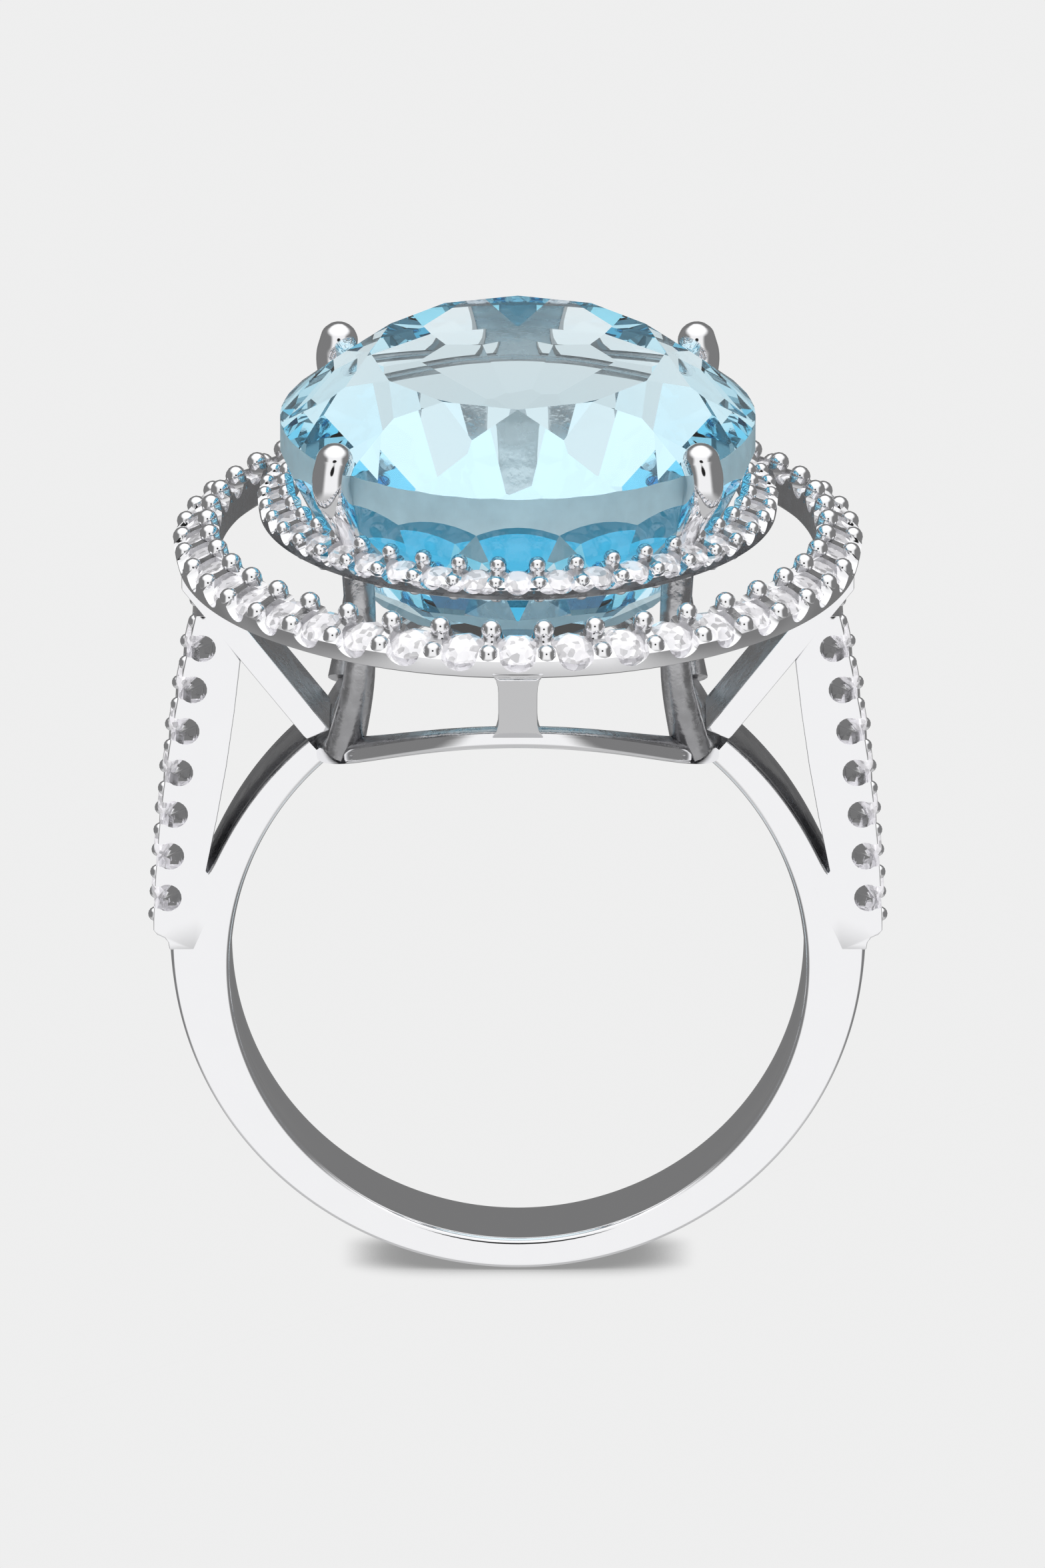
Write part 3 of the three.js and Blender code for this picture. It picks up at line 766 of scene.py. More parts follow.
def hollow_band(piece, finger, width):
    """The long shallow groove inside each side of the band, deepest level with the finger's middle."""
    groove_depth, groove_share = 0.16, 0.55
    for corner in piece.data.vertices:
        radius = math.hypot(corner.co.x, corner.co.z)
        across = abs(corner.co.y) / (width / 2)
        if radius > finger + 0.05 or across > groove_share:
            continue
        turn = math.degrees(math.atan2(corner.co.z, abs(corner.co.x)))
        fade = max(0.0, 1 - abs(turn + 8) / 42)
        depth = groove_depth * fade * (1 - (across / groove_share) ** 2)
        corner.co.x *= (radius + depth) / radius
        corner.co.z *= (radius + depth) / radius


def seat_cutter(radius, middle, depth):
    """A stone's seat: a round hole of height 1 that narrows to half below."""
    clear_bench()
    bpy.ops.mesh.primitive_cylinder_add(vertices=20, radius=radius, depth=1.0, location=(0, 0, middle))
    seat = added("seat")
    edit(seat)
    pick_faces(seat, lambda centre, normal: normal.z < -0.9)
    push(z=-depth)
    grow(0.5, 0.5, 1)
    done_editing()
    return seat


def keyhole(radius, mouth, depth, height):
    """The outline of a pocket's side opening: a round bottom and a narrower mouth."""
    outline = []
    steps = 14
    for step in range(steps + 1):
        turn = math.radians(35) - math.radians(250) * step / steps
        outline.append((radius * math.cos(turn), radius * math.sin(turn) - depth))
    outline += [(-mouth, height), (mouth, height)]
    return outline


def arm_tools(side):
    """The seats and side pockets that are cut into an arm, as two tools."""
    places, stone = arm_places()
    seat = seat_cutter(stone + 0.02, middle=0.18, depth=0.45)
    pocket = plate("pocket", keyhole(radius=0.42, mouth=0.36, depth=0.4, height=0.6), -2.5, 2.5)
    spots = [on_arm(*place, side) for place in places]
    seats = copies(seat, spots, "seats")
    pockets = copies(pocket, spots, "pockets")
    put_away(seat, pocket)
    return seats, pockets


def bead_pattern(radius, start=0.6, depth=0.8):
    """A round bead whose lower end, from a share of its radius, is drawn down into the metal as a neck."""
    clear_bench()
    bpy.ops.mesh.primitive_uv_sphere_add(segments=12, ring_count=8, radius=radius)
    bead = added("bead")
    edit(bead)
    pick_faces(bead, lambda centre, normal: centre.z < -start * radius)
    bpy.ops.transform.translate(value=(0, 0, -depth * radius))
    done_editing()
    return bead


def model_arm(side_name, side):
    band, sizes, _, _ = settings()
    low, high = box_mm("shank")
    line = arm_line()
    half = band.strut * MM / 2
    steps = 36
    face = [along(line, line_length(line) * step / steps)[0] for step in range(1, steps + 1)]
    face = [point for point in face if strut_edge(-half, point.y).x < point.x]
    foot = line[0]
    root = band_foot()
    lip = [
        Vector((root.x - 0.01, foot.y - 0.62)), Vector((root.x + 0.03, foot.y - 0.38)),
        Vector((root.x + 0.14, foot.y - 0.24)), Vector((foot.x - 0.12, foot.y - 0.14)),
        Vector((foot.x - 0.01, foot.y)),
    ]
    top = face[-1]
    window_top = strut_edge(-half, top.y - band.arm_top * MM)
    split = split_point()
    bow = []
    for part in (0.25, 0.5, 0.75):
        bow.append(split.lerp(window_top, part) - Vector((0.1 * math.sin(math.pi * part), 0)))
    overlap = Vector((-0.5, -0.5))
    inner = [strut_edge(-half + 0.1, top.y), window_top, *reversed(bow), split]
    outline = [*lip, *face, *inner, split + overlap, Vector((root.x - 0.75, foot.y - 0.62))]
    name = f"arm_{side_name}"
    outline = [(side * point.x, point.y) for point in outline]
    piece = plate(name, outline, low.y - ARM_PROUD, high.y + ARM_PROUD)
    round_edges(piece, band.edge * MM, 2, 40)
    seats, pockets = arm_tools(side)
    shape_with(piece, pockets)
    shape_with(piece, seats)
    bead = bead_pattern(sizes.arm_bead * MM)
    gaps, _ = arm_places(-0.5, 1)
    row, sink = sizes.arm_bead_row * MM, 0.06
    rows = [on_arm(*gap, side, across, -sink) for gap in gaps for across in (-row, row)]
    beads = copies(bead, rows, "arm_beads")
    put_away(bead)
    joined(piece, beads)
    set_on_frame(piece, [f"shoulder_arm_{side_name}"], metals(), 35, False)
    lows, highs = low.y / MM + 0.00004, high.y / MM - 0.00004
    window = split.x / MM

    # The window's walls inside the arm get the darker unpolished finish: painted shade in the window.
    def inside(centre, normal):
        hidden = lows < centre.y < highs and abs(normal.y) < 0.5
        return hidden and side * normal.x < -0.2 and abs(centre.x) < window + 0.0011

    finish_faces(piece, 1, inside)


def model_strut(side_name, side):
    band, _, _, _ = settings()
    low, high = box_mm("shank")
    outer = halo("outer")
    _, rail_high = box_mm("gallery_rail")
    half = band.strut * MM / 2
    tip = polar((band.finger_radius + band.tip) * MM + 0.01, band.gallery_angle)
    on_edge = strut_edge(half, 0)
    direction = (strut_edge(half, 1) - on_edge).normalized()
    down = on_edge.dot(direction)
    inner = on_edge + direction * (math.sqrt(down**2 - on_edge.length_squared + rail_high.z**2) - down)
    top = outer["bottom"] + 0.12
    rim = outer["x"] + outer["wall"] - 0.2
    level, above = strut_edge(-half, 0), strut_edge(-half, 1)
    corner = (rim - level.x) / (above.x - level.x)
    outline = [
        strut_edge(-half, tip.y + 0.1), strut_edge(-half, corner), Vector((rim, top)), strut_edge(half, top),
        inner, tip,
    ]
    name = f"strut_{side_name}"
    outline = [(side * point.x, point.y) for point in outline]
    piece = plate(name, outline, low.y - STRUT_PROUD, high.y + STRUT_PROUD)
    round_edges(piece, band.edge * MM, 2, 25)
    set_on_frame(piece, [f"shoulder_strut_{side_name}"], metals())
    # The strut's inward face gets the darker unpolished finish: painted shade on the side facing the window.
    finish_faces(piece, 1, lambda centre, normal: side * normal.x < -0.4 and abs(normal.y) < 0.4)


# ---------------------------------------------------------------- gallery


def hoop(name, half_x, half_y, half_wide, half_high, height_at, square=4.0, steps=144, tilt=0.0, draw=0.0):
    """A closed hoop along an oval: a torus whose section is squared and whose height follows a rule.

    The tilt slopes its top down outwards, and its outer wall is drawn in towards its bottom.
    """
    clear_bench()
    bpy.ops.mesh.primitive_torus_add(major_segments=steps, minor_segments=20, major_radius=4, minor_radius=1)
    piece = added(name)
    for corner in piece.data.vertices:
        turn = math.atan2(corner.co.y, corner.co.x)
        across, up = math.hypot(corner.co.x, corner.co.y) - 4, corner.co.z
        stretch = (abs(across) ** square + abs(up) ** square) ** (-1 / square)
        place = Vector((half_x * math.cos(turn), half_y * math.sin(turn), 0))
        outward = Vector((place.x / half_x**2, place.y / half_y**2, 0)).normalized()
        offset, lift = across * stretch * half_wide, up * stretch
        low = (1 - lift) / 2
        spread = offset - (draw * low if offset > 0 else 0)
        fall = offset * math.tan(tilt) * (1 - low)
        place.z = height_at(place.x + outward.x * spread) + lift * half_high - fall
        place += outward * spread
        corner.co = place
    return piece


def model_rail():
    band, _, _, _ = settings()
    _, high = box_mm("gallery_rail")
    half_x, half_y = high.x - RAIL_WALL / 2, high.y - RAIL_WALL / 2
    inside = band.finger_radius * MM + RAIL_CLEARANCE
    middle = (inside + high.z) / 2

    def arch(x):
        return math.sqrt(middle**2 - x * x)

    piece = hoop("gallery_rail_polished", half_x, half_y, RAIL_WALL / 2, (high.z - inside) / 2, arch)
    set_on_frame(piece, ["gallery_rail"], metals(), 60, False)

    # The rail's top, under the stone, and its inner face get the darker unpolished finish: painted shade.
    def rough_and_shaded(centre, normal):
        outward = Vector((centre.x, centre.y, 0)).normalized()
        return normal.z > 0.35 or (normal.dot(outward) < -0.5 and normal.z > -0.3)

    finish_faces(piece, 1, rough_and_shaded)


def model_post(end_name, end):
    """A post that leans out from the rail to the outer halo and flares into both."""
    low, high = box_mm(f"gallery_post_{end_name}")
    _, rail = box_mm("gallery_rail")
    width, thick = high.x - low.x, POST_THICKNESS
    foot = rail.y - thick / 2
    head = max(abs(low.y), abs(high.y)) - thick / 2
    bottom, top = low.z - 0.25, high.z + 0.2
    clear_bench()
    bpy.ops.mesh.primitive_cube_add(size=1, location=(0, 0, 0.5), scale=(width, thick, 1))
    piece = added(f"post_{end_name}")
    edit(piece)
    bpy.ops.mesh.subdivide(number_cuts=9)
    done_editing()
    for corner in piece.data.vertices:
        part = corner.co.z
        flare = 1 + 0.34 * abs(2 * part - 1) ** 5
        corner.co.x *= flare
        lean = foot + (head - foot) * min(1.0, max(0.0, part))
        corner.co.y = end * (lean + corner.co.y)
        corner.co.z = bottom + (top - bottom) * part
    edit(piece)
    done_editing()
    round_edges(piece, 0.06, 2, 40)
    set_on_frame(piece, [f"gallery_post_{end_name}"], metals())
    # The post's face towards the middle gets the darker unpolished finish: painted shade under the stone.
    finish_faces(piece, 1, lambda centre, normal: end * normal.y < -0.3)


# ---------------------------------------------------------------- halos


def halo_tools(line, spots):
    """Stone seats, and the scallops cut through both edges of the rim, as two tools."""
    stone = line["stone"]
    seat = seat_cutter(stone - 0.03, middle=0.25, depth=0.55 * stone)
    clear_bench()
    reach, centre = 2 * line["wall"] + 1, (0, 0, 0.17)
    bpy.ops.mesh.primitive_cylinder_add(
        vertices=28, radius=0.86 * stone, depth=reach, rotation=(math.pi / 2, 0, 0), location=centre
    )
    scallop = added("scallop")
    seats = copies(seat, spots, "seats")
    scallops = copies(scallop, spots, "scallops")
    put_away(seat, scallop)
    return seats, scallops


def halo_beads(line):
    """The beads between the stones: round ones on the inner edge, and domed posts on the outer edge."""
    _, sizes, _, _ = settings()
    gaps = oval_places(line["x"], line["y"], sizes.stones, 0.5)
    rows = []
    for row, radius, start, depth, lift in (
        (-1, line["bead"], 0.6, 0.8, 0.16), (1, line["dome"], 0.45, 1.6, -0.03),
    ):
        pattern = bead_pattern(radius, start, depth)
        across = row * (line["wall"] + 0.05 - 0.72 * radius)
        shift = Matrix.Translation((0, across, lift))
        rows.append(copies(pattern, [leaning(line, *gap) @ shift for gap in gaps], "beads"))
        put_away(pattern)
    return rows


def model_halo(name, rough_and_shaded_below, draw):
    _, sizes, _, _ = settings()
    line = halo(name)
    middle = (line["bottom"] + line["rim"]) / 2
    half_high = (line["rim"] - line["bottom"]) / 2
    steps = sizes.stones * 6
    wall = line["wall"] + 0.08
    piece = hoop(
        f"{name}_halo", line["x"], line["y"], wall, half_high, lambda x: middle,
        square=8.0, steps=steps, tilt=line["tilt"], draw=draw,
    )
    spots = [leaning(line, *place) for place in oval_places(line["x"], line["y"], sizes.stones)]
    seats, scallops = halo_tools(line, spots)
    shape_with(piece, scallops)
    shape_with(piece, seats)
    joined(piece, *halo_beads(line))
    set_on_frame(piece, [f"{name}_halo_frame"], metals(), 40, False)
    tree = KDTree(len(spots))
    for index, spot in enumerate(spots):
        tree.insert(spot.translation, index)
    tree.balance()
    back = [spot.inverted() for spot in spots]

    def rough_and_shaded(centre, normal):
        """The darker unpolished finish, a painted shade: the seats, the inner wall, and a line along the
        bottom of the outer wall.
        """
        outward = Vector((centre.x / line["x"] ** 2, centre.y / line["y"] ** 2, 0)).normalized()
        index = tree.find(centre * MM)[1]
        place = back[index] @ (centre * MM)
        in_seat = math.hypot(place.x, place.y) < line["stone"] + 0.03 and place.z < 0.1
        if in_seat and (place.y < 0.45 * line["wall"] or normal.dot(outward) < 0.3):
            return True
        low = centre.z < (line["bottom"] + rough_and_shaded_below) / MM
        return place.z < -0.1 and (normal.dot(outward) < -0.3 or low)

    finish_faces(piece, 1, rough_and_shaded)


# ---------------------------------------------------------------- stones


def facet(point, normal):
    """Grind a flat: everything past the plane goes, and the cut is closed."""
    bpy.ops.mesh.select_all(action="SELECT")
    bpy.ops.mesh.bisect(plane_co=point, plane_no=normal, use_fill=True, clear_outer=True, threshold=0.0002)


def slanted(outward, slope):
    """The normal of a facet that slopes down outwards; a negative slope faces below."""
    tilt = abs(slope)
    sign = 1 if slope > 0 else -1
    return Vector((outward.x * math.sin(tilt), outward.y * math.sin(tilt), sign * math.cos(tilt)))


def small_brilliant():
    """A round brilliant of radius 1 with its table at Z = 0."""
    girdle_top, girdle_bottom, table, culet = -0.32, -0.38, 0.56, -1.14
    clear_bench()
    bpy.ops.mesh.primitive_cylinder_add(vertices=16, radius=1, depth=1.3, location=(0, 0, -0.65))
    stone = added("brilliant")
    edit(stone)
    main = math.atan2(-girdle_top, 1 - table)
    below = math.atan2(girdle_bottom - culet, 1)
    for step in range(8):
        turn = math.pi * step / 4
        outward = Vector((math.cos(turn), math.sin(turn), 0))
        facet(outward + Vector((0, 0, girdle_top)), slanted(outward, main))
        facet(Vector((0, 0, culet)), slanted(outward, -below))
    for step in range(8):
        turn = math.pi * (step + 0.5) / 4
        outward = Vector((math.cos(turn), math.sin(turn), 0))
        facet(outward * table * 0.93, slanted(outward, main * 0.62))
        facet(outward + Vector((0, 0, girdle_bottom - 0.02)), slanted(outward, -below * 1.16))
    done_editing()
    return stone


def model_halo_stones(name):
    _, sizes, _, _ = settings()
    line = halo(name)
    stone = small_brilliant()
    places = oval_places(line["x"], line["y"], sizes.stones)
    each = sizes.stones // STRIPS
    for strip in range(STRIPS):
        spots = []
        for step in range(each):
            index = (strip * each - each // 2 + step) % sizes.stones
            point, outward = places[index]
            turn = Matrix.Rotation(0.37 * index, 4, "Z")
            spots.append(leaning(line, point, outward) @ turn @ Matrix.Scale(line["stone"], 4))
        piece = copies(stone, spots, f"{name}_brilliants_{strip + 1}")
        node = f"{name}_halo_stones_{strip + 1}"
        set_on_frame(piece, [node], [white_glass()], 0)
    put_away(stone)


def model_arm_stones(side_name, side):
    places, radius = arm_places()
    stone = small_brilliant()
    for index, place in enumerate(places):
        spin = Matrix.Rotation(0.37 * index, 4, "Z")
        name = f"arm_brilliant_{side_name}_{index + 1}"
        piece = copies(stone, [on_arm(*place, side, lift=0.1) @ spin @ Matrix.Scale(radius, 4)], name)
        set_on_frame(piece, [f"shoulder_stone_{side_name}_{index + 1}"], [white_glass()], 0)
    put_away(stone)


def cut_big_stone(name, allowance=0.0):
    """An oval mixed cut, ground from an oval blank facet by facet. The allowance makes it larger."""
    _, _, sizes, _ = settings()
    low, high = box_mm("centre_stone")
    half_x, half_y = high.x + allowance, high.y + allowance
    table_z = high.z + allowance
    girdle_top = high.z - sizes.crown * MM + allowance
    girdle_bottom = high.z - (sizes.crown + sizes.girdle) * MM - allowance
    culet = low.z - allowance
    clear_bench()
    depth = table_z - culet
    bpy.ops.mesh.primitive_cylinder_add(
        vertices=120, radius=1, depth=depth, location=(0, 0, culet + depth / 2), scale=(half_x, half_y, 1)
    )
    stone = added(name)
    edit(stone)

    def on_oval(turn, x=half_x, y=half_y):
        return Vector((x * math.sin(turn), -y * math.cos(turn), 0))

    def outward_at(turn):
        return Vector((math.sin(turn) / half_x, -math.cos(turn) / half_y, 0)).normalized()

    table_x, table_y = sizes.table_x * MM, sizes.table_y * MM
    for step in range(12):
        turn = math.radians(30 * step)
        outward = outward_at(turn)
        edge = on_oval(turn)
        corner = on_oval(turn, table_x, table_y)
        fall = math.atan2(table_z - girdle_top, (edge - corner).dot(outward))
        facet(edge + Vector((0, 0, girdle_top)), slanted(outward, fall))
    for step in range(24):
        turn = math.radians(30 * (step // 2) + (11 if step % 2 else -11))
        facet(on_oval(turn) + Vector((0, 0, girdle_top)), slanted(outward_at(turn), math.radians(40)))
    for step in range(12):
        first = on_oval(math.radians(30 * step), table_x, table_y)
        second = on_oval(math.radians(30 * step + 30), table_x, table_y)
        side = second - first
        outward = Vector((side.y, -side.x, 0)).normalized()
        outward = outward if outward.dot(first) > 0 else -outward
        facet(first + Vector((0, 0, table_z)), slanted(outward, math.radians(26)))
    for step in range(18):
        turn = math.radians(20 * step)
        facet(on_oval(turn) + Vector((0, 0, girdle_bottom)), slanted(outward_at(turn), -FIRST_TIER))
    upper = sizes.upper * MM
    draw = upper / math.tan(FIRST_TIER)
    break_z = culet + sizes.lower * MM
    steep = math.atan2(girdle_bottom - upper - break_z, sizes.draw_in * MM - draw)
    for step in range(12):
        turn = math.radians(30 * step + 15)
        outward = outward_at(turn)
        point = on_oval(turn) - outward * draw + Vector((0, 0, girdle_bottom - upper))
        facet(point, slanted(outward, -steep))
    for step in range(12):
        turn = math.radians(30 * step)
        outward = outward_at(turn)
        reach = on_oval(turn).dot(outward) - sizes.draw_in * MM
        slope = math.atan2(break_z - culet, reach)
        facet(Vector((0, 0, culet)), slanted(outward, -slope))
        facet(Vector((0, 0, culet + 0.3)), slanted(outward_at(turn + math.radians(15)), -0.62 * slope))
        between = outward_at(turn + math.radians(15))
        corner = on_oval(turn + math.radians(15)) - between * (sizes.draw_in * MM + 0.3)
        facet(corner + Vector((0, 0, break_z)), slanted(between, -math.radians(44)))
    done_editing()
    return stone


def model_big_stone():
    stone = cut_big_stone("big_stone")
    finishes = [blue_glass(), frosted_girdle(), painted_deep_blue_glass()]
    set_on_frame(stone, ["centre_stone"], finishes, 0)
    finish_faces(stone, 1, lambda centre, normal: abs(normal.z) < 0.02)
    # The first tier under the girdle gets the deeper blue copy: painted shade.
    finish_faces(stone, 2, lambda centre, normal: abs(normal.z + math.cos(FIRST_TIER)) < 0.01)


# ---------------------------------------------------------------- prongs


def beside_oval(half_x, half_y, degrees, offset, height):
    turn = math.radians(degrees)
    place = Vector((half_x * math.cos(turn), half_y * math.sin(turn), 0))
    outward = Vector((place.x / half_x**2, place.y / half_y**2, 0)).normalized()
    place += outward * offset
    place.z = height
    return place


def prong_path():
    """The bends of the back right prong, from its foot on the gallery rail to its tip."""
    _, _, sizes, _ = settings()
    inner = halo("inner")
    _, stone = box_mm("centre_stone")
    _, rail = box_mm("gallery_rail")
    girdle_top = stone.z - sizes.crown * MM
    girdle_middle = girdle_top - sizes.girdle * MM / 2
    foot_turn, base_turn, tip_turn = 28, 40, 44.5
    sunk, knee_rise, tip_rise = 0.25, 1.25, 0.45
    foot = beside_oval(rail.x - RAIL_WALL / 2, rail.y - RAIL_WALL / 2, foot_turn, 0, 0)
    foot.z = math.sqrt((rail.z - sunk) ** 2 - foot.x**2)
    base = beside_oval(inner["x"], inner["y"], base_turn, -0.85, inner["top"] - 0.2)
    knee = Vector((base.x * 0.97, base.y * 0.97, rail.z + knee_rise))
    shoulder = beside_oval(stone.x, stone.y, tip_turn, 0.55, girdle_middle)
    tip = beside_oval(stone.x, stone.y, tip_turn, 0.43, girdle_top + tip_rise)
    return [foot, knee, base, shoulder, tip]


def spline_point(points, place):
    """A point of the smooth curve through all the points; place runs from 0 to their number less 1."""
    index = min(int(place), len(points) - 2)
    t = place - index
    before = points[max(index - 1, 0)]
    first, second = points[index], points[index + 1]
    after = points[min(index + 2, len(points) - 1)]
    rise = (second - before) / 2
    fall = (after - first) / 2
    return (
        (2 * t**3 - 3 * t**2 + 1) * first + (t**3 - 2 * t**2 + t) * rise
        + (3 * t**2 - 2 * t**3) * second + (t**3 - t**2) * fall
    )


def model_prong(end_name, end, side_name, side):
    """A wire drawn along its path, thinner at its waist, with a domed tip notched over the stone."""
    _, _, sizes, _ = settings()
    bends = [Vector((side * p.x, end * p.y, p.z)) for p in prong_path()]
    thick, waist = sizes.prong * MM, sizes.waist * MM
    radii = [thick, waist, waist * 1.05, thick * 0.97, thick]
    steps = 40
    points = []
    for step in range(steps + 1):
        place = 4 * step / steps
        index = min(int(place), 3)
        radius = radii[index] + (radii[index + 1] - radii[index]) * (place - index)
        points.append((spline_point(bends, place), radius))
    rise = (points[-1][0] - points[-2][0]).normalized()
    tip = points[-1][0]
    for step in range(1, 9):
        turn = math.radians(11 * step)
        points.append((tip + rise * thick * math.sin(turn), thick * math.cos(turn)))
    clear_bench()
    bpy.ops.curve.primitive_bezier_curve_add()
    wire = bpy.context.object
    wire.data.splines.clear()
    spline = wire.data.splines.new("POLY")
    spline.points.add(len(points) - 1)
    for knot, (place, radius) in zip(spline.points, points):
        knot.co = (*place, 1)
        knot.radius = radius
    wire.data.dimensions = "3D"
    wire.data.bevel_depth = 1.0
    wire.data.bevel_resolution = 6
    wire.data.use_fill_caps = True
    take(wire)
    bpy.ops.object.convert(target="MESH")
    piece = added(f"prong_wire_{end_name}_{side_name}")
    edit(piece)
    bpy.ops.mesh.remove_doubles(threshold=0.001)
    done_editing()
    shape_with(piece, cut_big_stone("notch", 0.015))
    nodes = [f"prong_{end_name}_{side_name}"]
    set_on_frame(piece, nodes, metals(), 40, False)
    rough_and_shaded_top = halo("inner")["top"] / MM - 0.0002
    # Below the inner halo's top the wire gets the darker unpolished finish: painted shade inside the
    # gallery.
    finish_faces(piece, 1, lambda centre, normal: centre.z < rough_and_shaded_top)


# ---------------------------------------------------------------- stage


def light_room(camera_direction):
    """White paper in front and above, grey at the sides, below and low at the back, and a dark lens."""
    world = bpy.data.worlds.new("studio")
    bpy.context.scene.world = world
    world.use_nodes = True
    tree = world.node_tree
    direction = node_in(tree, "TexCoord", {}).outputs["Generated"]
    x, y, z = node_in(tree, "SeparateXYZ", {"Vector": direction}).outputs
    low_wall = ramp_of(tree, worked_out(tree, "ABSOLUTE", z), 0.6, 0.85, 1, 0)
    wall = worked_out(tree, "MULTIPLY", low_wall, ramp_of(tree, y, 0.15, 0.7, 0, 1))
    below = ramp_of(tree, z, -0.1, 0.1, 1, 0)
    far_floor = worked_out(tree, "MULTIPLY", below, ramp_of(tree, y, 0.2, 0.95, 0, 1))
    wall = worked_out(tree, "MAXIMUM", wall, far_floor)
    side = ramp_of(tree, worked_out(tree, "ABSOLUTE", x), 0.5, 0.8, 0, 1)
    side = worked_out(tree, "MULTIPLY", side, ramp_of(tree, z, 0.45, 0.75, 1, 0))
    under = ramp_of(tree, z, -0.8, -0.5, 1, 0)
    towards_lens = node_in(tree, "VectorMath", {0: direction, 1: camera_direction}, operation="DOT_PRODUCT")
    lens = ramp_of(tree, towards_lens.outputs["Value"], 0.975, 0.99, 0, 1)
    light = ramp_of(tree, z, 0.55, 0.9, 1.0, 1.25)
    for level, mask in ((0.2, wall), (0.22, side), (0.58, under), (0.02, lens)):
        light = blend_to(tree, light, level, mask)
    paths = node_in(tree, "LightPath", {})
    through = ramp_of(tree, y, 0.5, 0.9, 1.15, 0.85)
    light = blend_to(tree, light, through, paths.outputs["Is Transmission Ray"])
    set_inputs(tree, tree.nodes["Background"], {"Color": light, "Strength": 1.0})


def set_floor():
    """A sheet that glows evenly under the ring, darkened only close to the metal as a painted shadow."""
    low, _ = CAD_BOUNDS
    clear_bench()
    bpy.ops.mesh.primitive_plane_add(size=4, location=(0, 0, low.z))
    floor = added("floor")
    paper = bpy.data.materials.new("pale_floor")
    tree, shader = tree_of(paper)
    shade = node_in(tree, "AmbientOcclusion", {"Distance": 0.0014}, samples=16)
    # Painted shadow: the floor's glow darkens where the ring's metal is close.
    light = ramp_of(tree, shade.outputs["AO"], 0.2, 0.95, 0.3, settings()[3].floor)
    set_inputs(tree, shader, {
        "Base Color": (0, 0, 0, 1), "Roughness": 1.0, "Specular IOR Level": 0.0,
        "Emission Color": light, "Emission Strength": 1.0,
    })
    floor.data.materials.append(paper)
    floor.visible_glossy = False
    floor.visible_transmission = False


def set_stage():
    scene = bpy.context.scene
    set_floor()
    tilt, distance = math.radians(17.7), 0.6
    aim = Vector((0.00014, 0.00153, 0.00479))
    towards = Vector((0, -math.cos(tilt), math.sin(tilt)))
    camera = bpy.data.cameras.new("camera")
    camera.lens = 456.3
    camera.sensor_width = 36
    camera.clip_start, camera.clip_end = 0.05, 10
    view = bpy.data.objects.new("camera", camera)
    scene.collection.objects.link(view)
    view.location = towards * distance
    view.rotation_euler = (aim - view.location).to_track_quat("-Z", "Y").to_euler()
    scene.camera = view
    light_room(towards)
    scene.view_settings.view_transform = "Standard"
    scene.cycles.max_bounces = 24
    scene.cycles.transmission_bounces = 20
    scene.cycles.glossy_bounces = 8


# ---------------------------------------------------------------- operators and panel


class RING_OT_stage(bpy.types.Operator):
    """Add the floor, the camera and the light of the room"""

    bl_idname = "ring.stage"
    bl_label = "Stage"

    def execute(self, context):
        set_stage()
        return {"FINISHED"}


class RING_OT_band(bpy.types.Operator):
    """Model the band"""

    bl_idname = "ring.band"
    bl_label = "Band"

    def execute(self, context):
        piece = model_band()
        set_on_frame(piece, ["shank"], metals(), 30)
        split = settings()[0].split_angle

        # Faces of the band's outside in the shoulder window get the darker unpolished finish: painted shade
        # under the arms.
        def in_window_shaded(centre, normal):
            radial = Vector((centre.x, 0, centre.z)).normalized()
            turn = math.atan2(centre.z, abs(centre.x))
            return turn > split + 0.02 and normal.dot(radial) > 0.6

        finish_faces(piece, 1, in_window_shaded)
        return {"FINISHED"}


class RING_OT_arms(bpy.types.Operator):
    """Model the stone-set shoulder arms with their beads"""

    bl_idname = "ring.arms"
    bl_label = "Shoulder arms"

    def execute(self, context):
        for side_name, side in SIDES:
            model_arm(side_name, side)
        return {"FINISHED"}


class RING_OT_struts(bpy.types.Operator):
    """Model the diagonal struts"""

    bl_idname = "ring.struts"
    bl_label = "Struts"

    def execute(self, context):
        for side_name, side in SIDES:
            model_strut(side_name, side)
        return {"FINISHED"}


class RING_OT_gallery(bpy.types.Operator):
    """Model the gallery rail and the two centre posts"""

    bl_idname = "ring.gallery"
    bl_label = "Gallery"

    def execute(self, context):
        model_rail()
        for end_name, end in ENDS:
            model_post(end_name, end)
        return {"FINISHED"}


class RING_OT_halos(bpy.types.Operator):
    """Model the two halo frames with their beads"""

    bl_idname = "ring.halos"
    bl_label = "Halos"

    def execute(self, context):
        model_halo("outer", 0.05, 0.16)
        model_halo("inner", 0.2, 0.06)
        return {"FINISHED"}


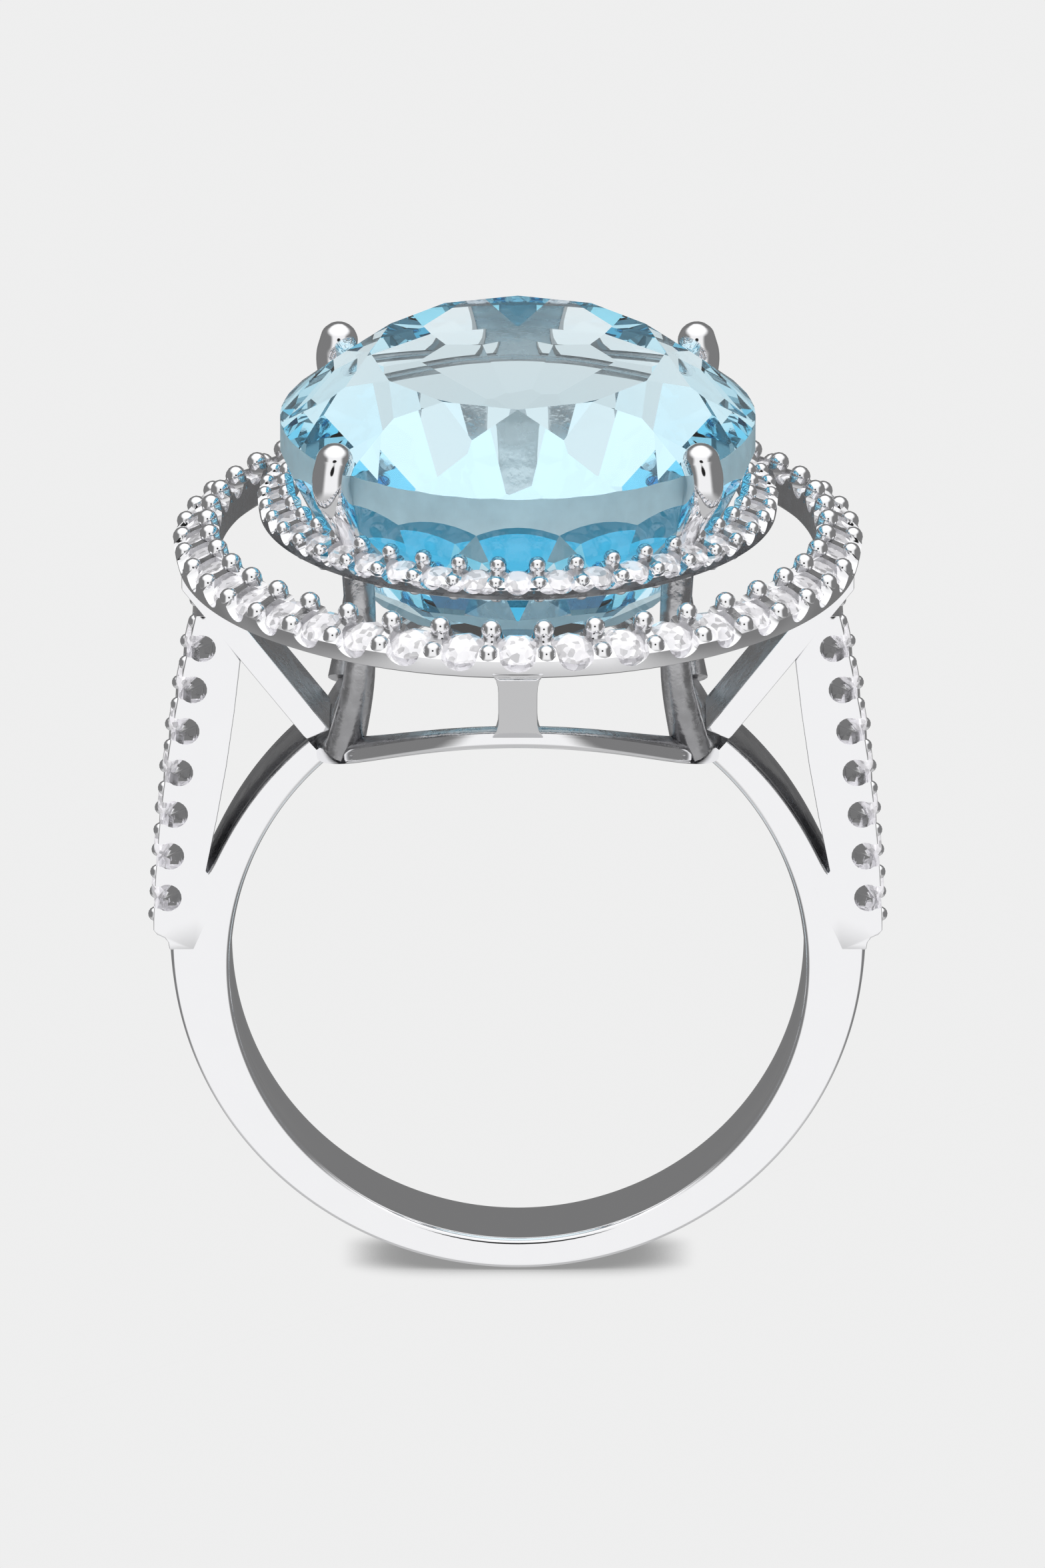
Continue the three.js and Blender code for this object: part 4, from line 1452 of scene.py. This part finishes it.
class RING_OT_prongs(bpy.types.Operator):
    """Model the four prongs that hold the big stone"""

    bl_idname = "ring.prongs"
    bl_label = "Prongs"

    def execute(self, context):
        for end_name, end in ENDS:
            for side_name, side in SIDES:
                model_prong(end_name, end, side_name, side)
        return {"FINISHED"}


class RING_OT_small_stones(bpy.types.Operator):
    """Cut the small white stones of the halos and the arms"""

    bl_idname = "ring.small_stones"
    bl_label = "Small stones"

    def execute(self, context):
        for name in ("outer", "inner"):
            model_halo_stones(name)
        for side_name, side in SIDES:
            model_arm_stones(side_name, side)
        return {"FINISHED"}


class RING_OT_big_stone(bpy.types.Operator):
    """Cut the big blue stone"""

    bl_idname = "ring.big_stone"
    bl_label = "Big stone"

    def execute(self, context):
        model_big_stone()
        return {"FINISHED"}


STEPS = (
    RING_OT_stage, RING_OT_band, RING_OT_arms, RING_OT_struts, RING_OT_gallery,
    RING_OT_halos, RING_OT_prongs, RING_OT_small_stones, RING_OT_big_stone,
)
GROUPS = (
    ("ring_band", RingBandSizes), ("ring_halo", RingHaloSizes),
    ("ring_stone", RingStoneSizes), ("ring_finish", RingFinish),
)


class RING_PT_bench(bpy.types.Panel):
    """The ring's pieces, its sizes and its colours"""

    bl_idname = "RING_PT_bench"
    bl_label = "Cocktail ring"
    bl_space_type = "VIEW_3D"
    bl_region_type = "UI"
    bl_category = "Ring"

    def draw(self, context):
        layout = self.layout
        for step in STEPS:
            layout.operator(step.bl_idname)
        for attribute, group in GROUPS:
            box = layout.box()
            for name in group.__annotations__:
                box.prop(getattr(context.scene, attribute), name)


def register():
    for attribute, group in GROUPS:
        bpy.utils.register_class(group)
        setattr(bpy.types.Scene, attribute, bpy.props.PointerProperty(type=group))
    for step in STEPS:
        bpy.utils.register_class(step)
    bpy.utils.register_class(RING_PT_bench)


def unregister():
    bpy.utils.unregister_class(RING_PT_bench)
    for step in reversed(STEPS):
        bpy.utils.unregister_class(step)
    for attribute, group in reversed(GROUPS):
        delattr(bpy.types.Scene, attribute)
        bpy.utils.unregister_class(group)


def main():
    register()
    for step in STEPS:
        family, name = step.bl_idname.split(".")
        getattr(getattr(bpy.ops, family), name)()
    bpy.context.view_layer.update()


if __name__ == "__main__":
    main()
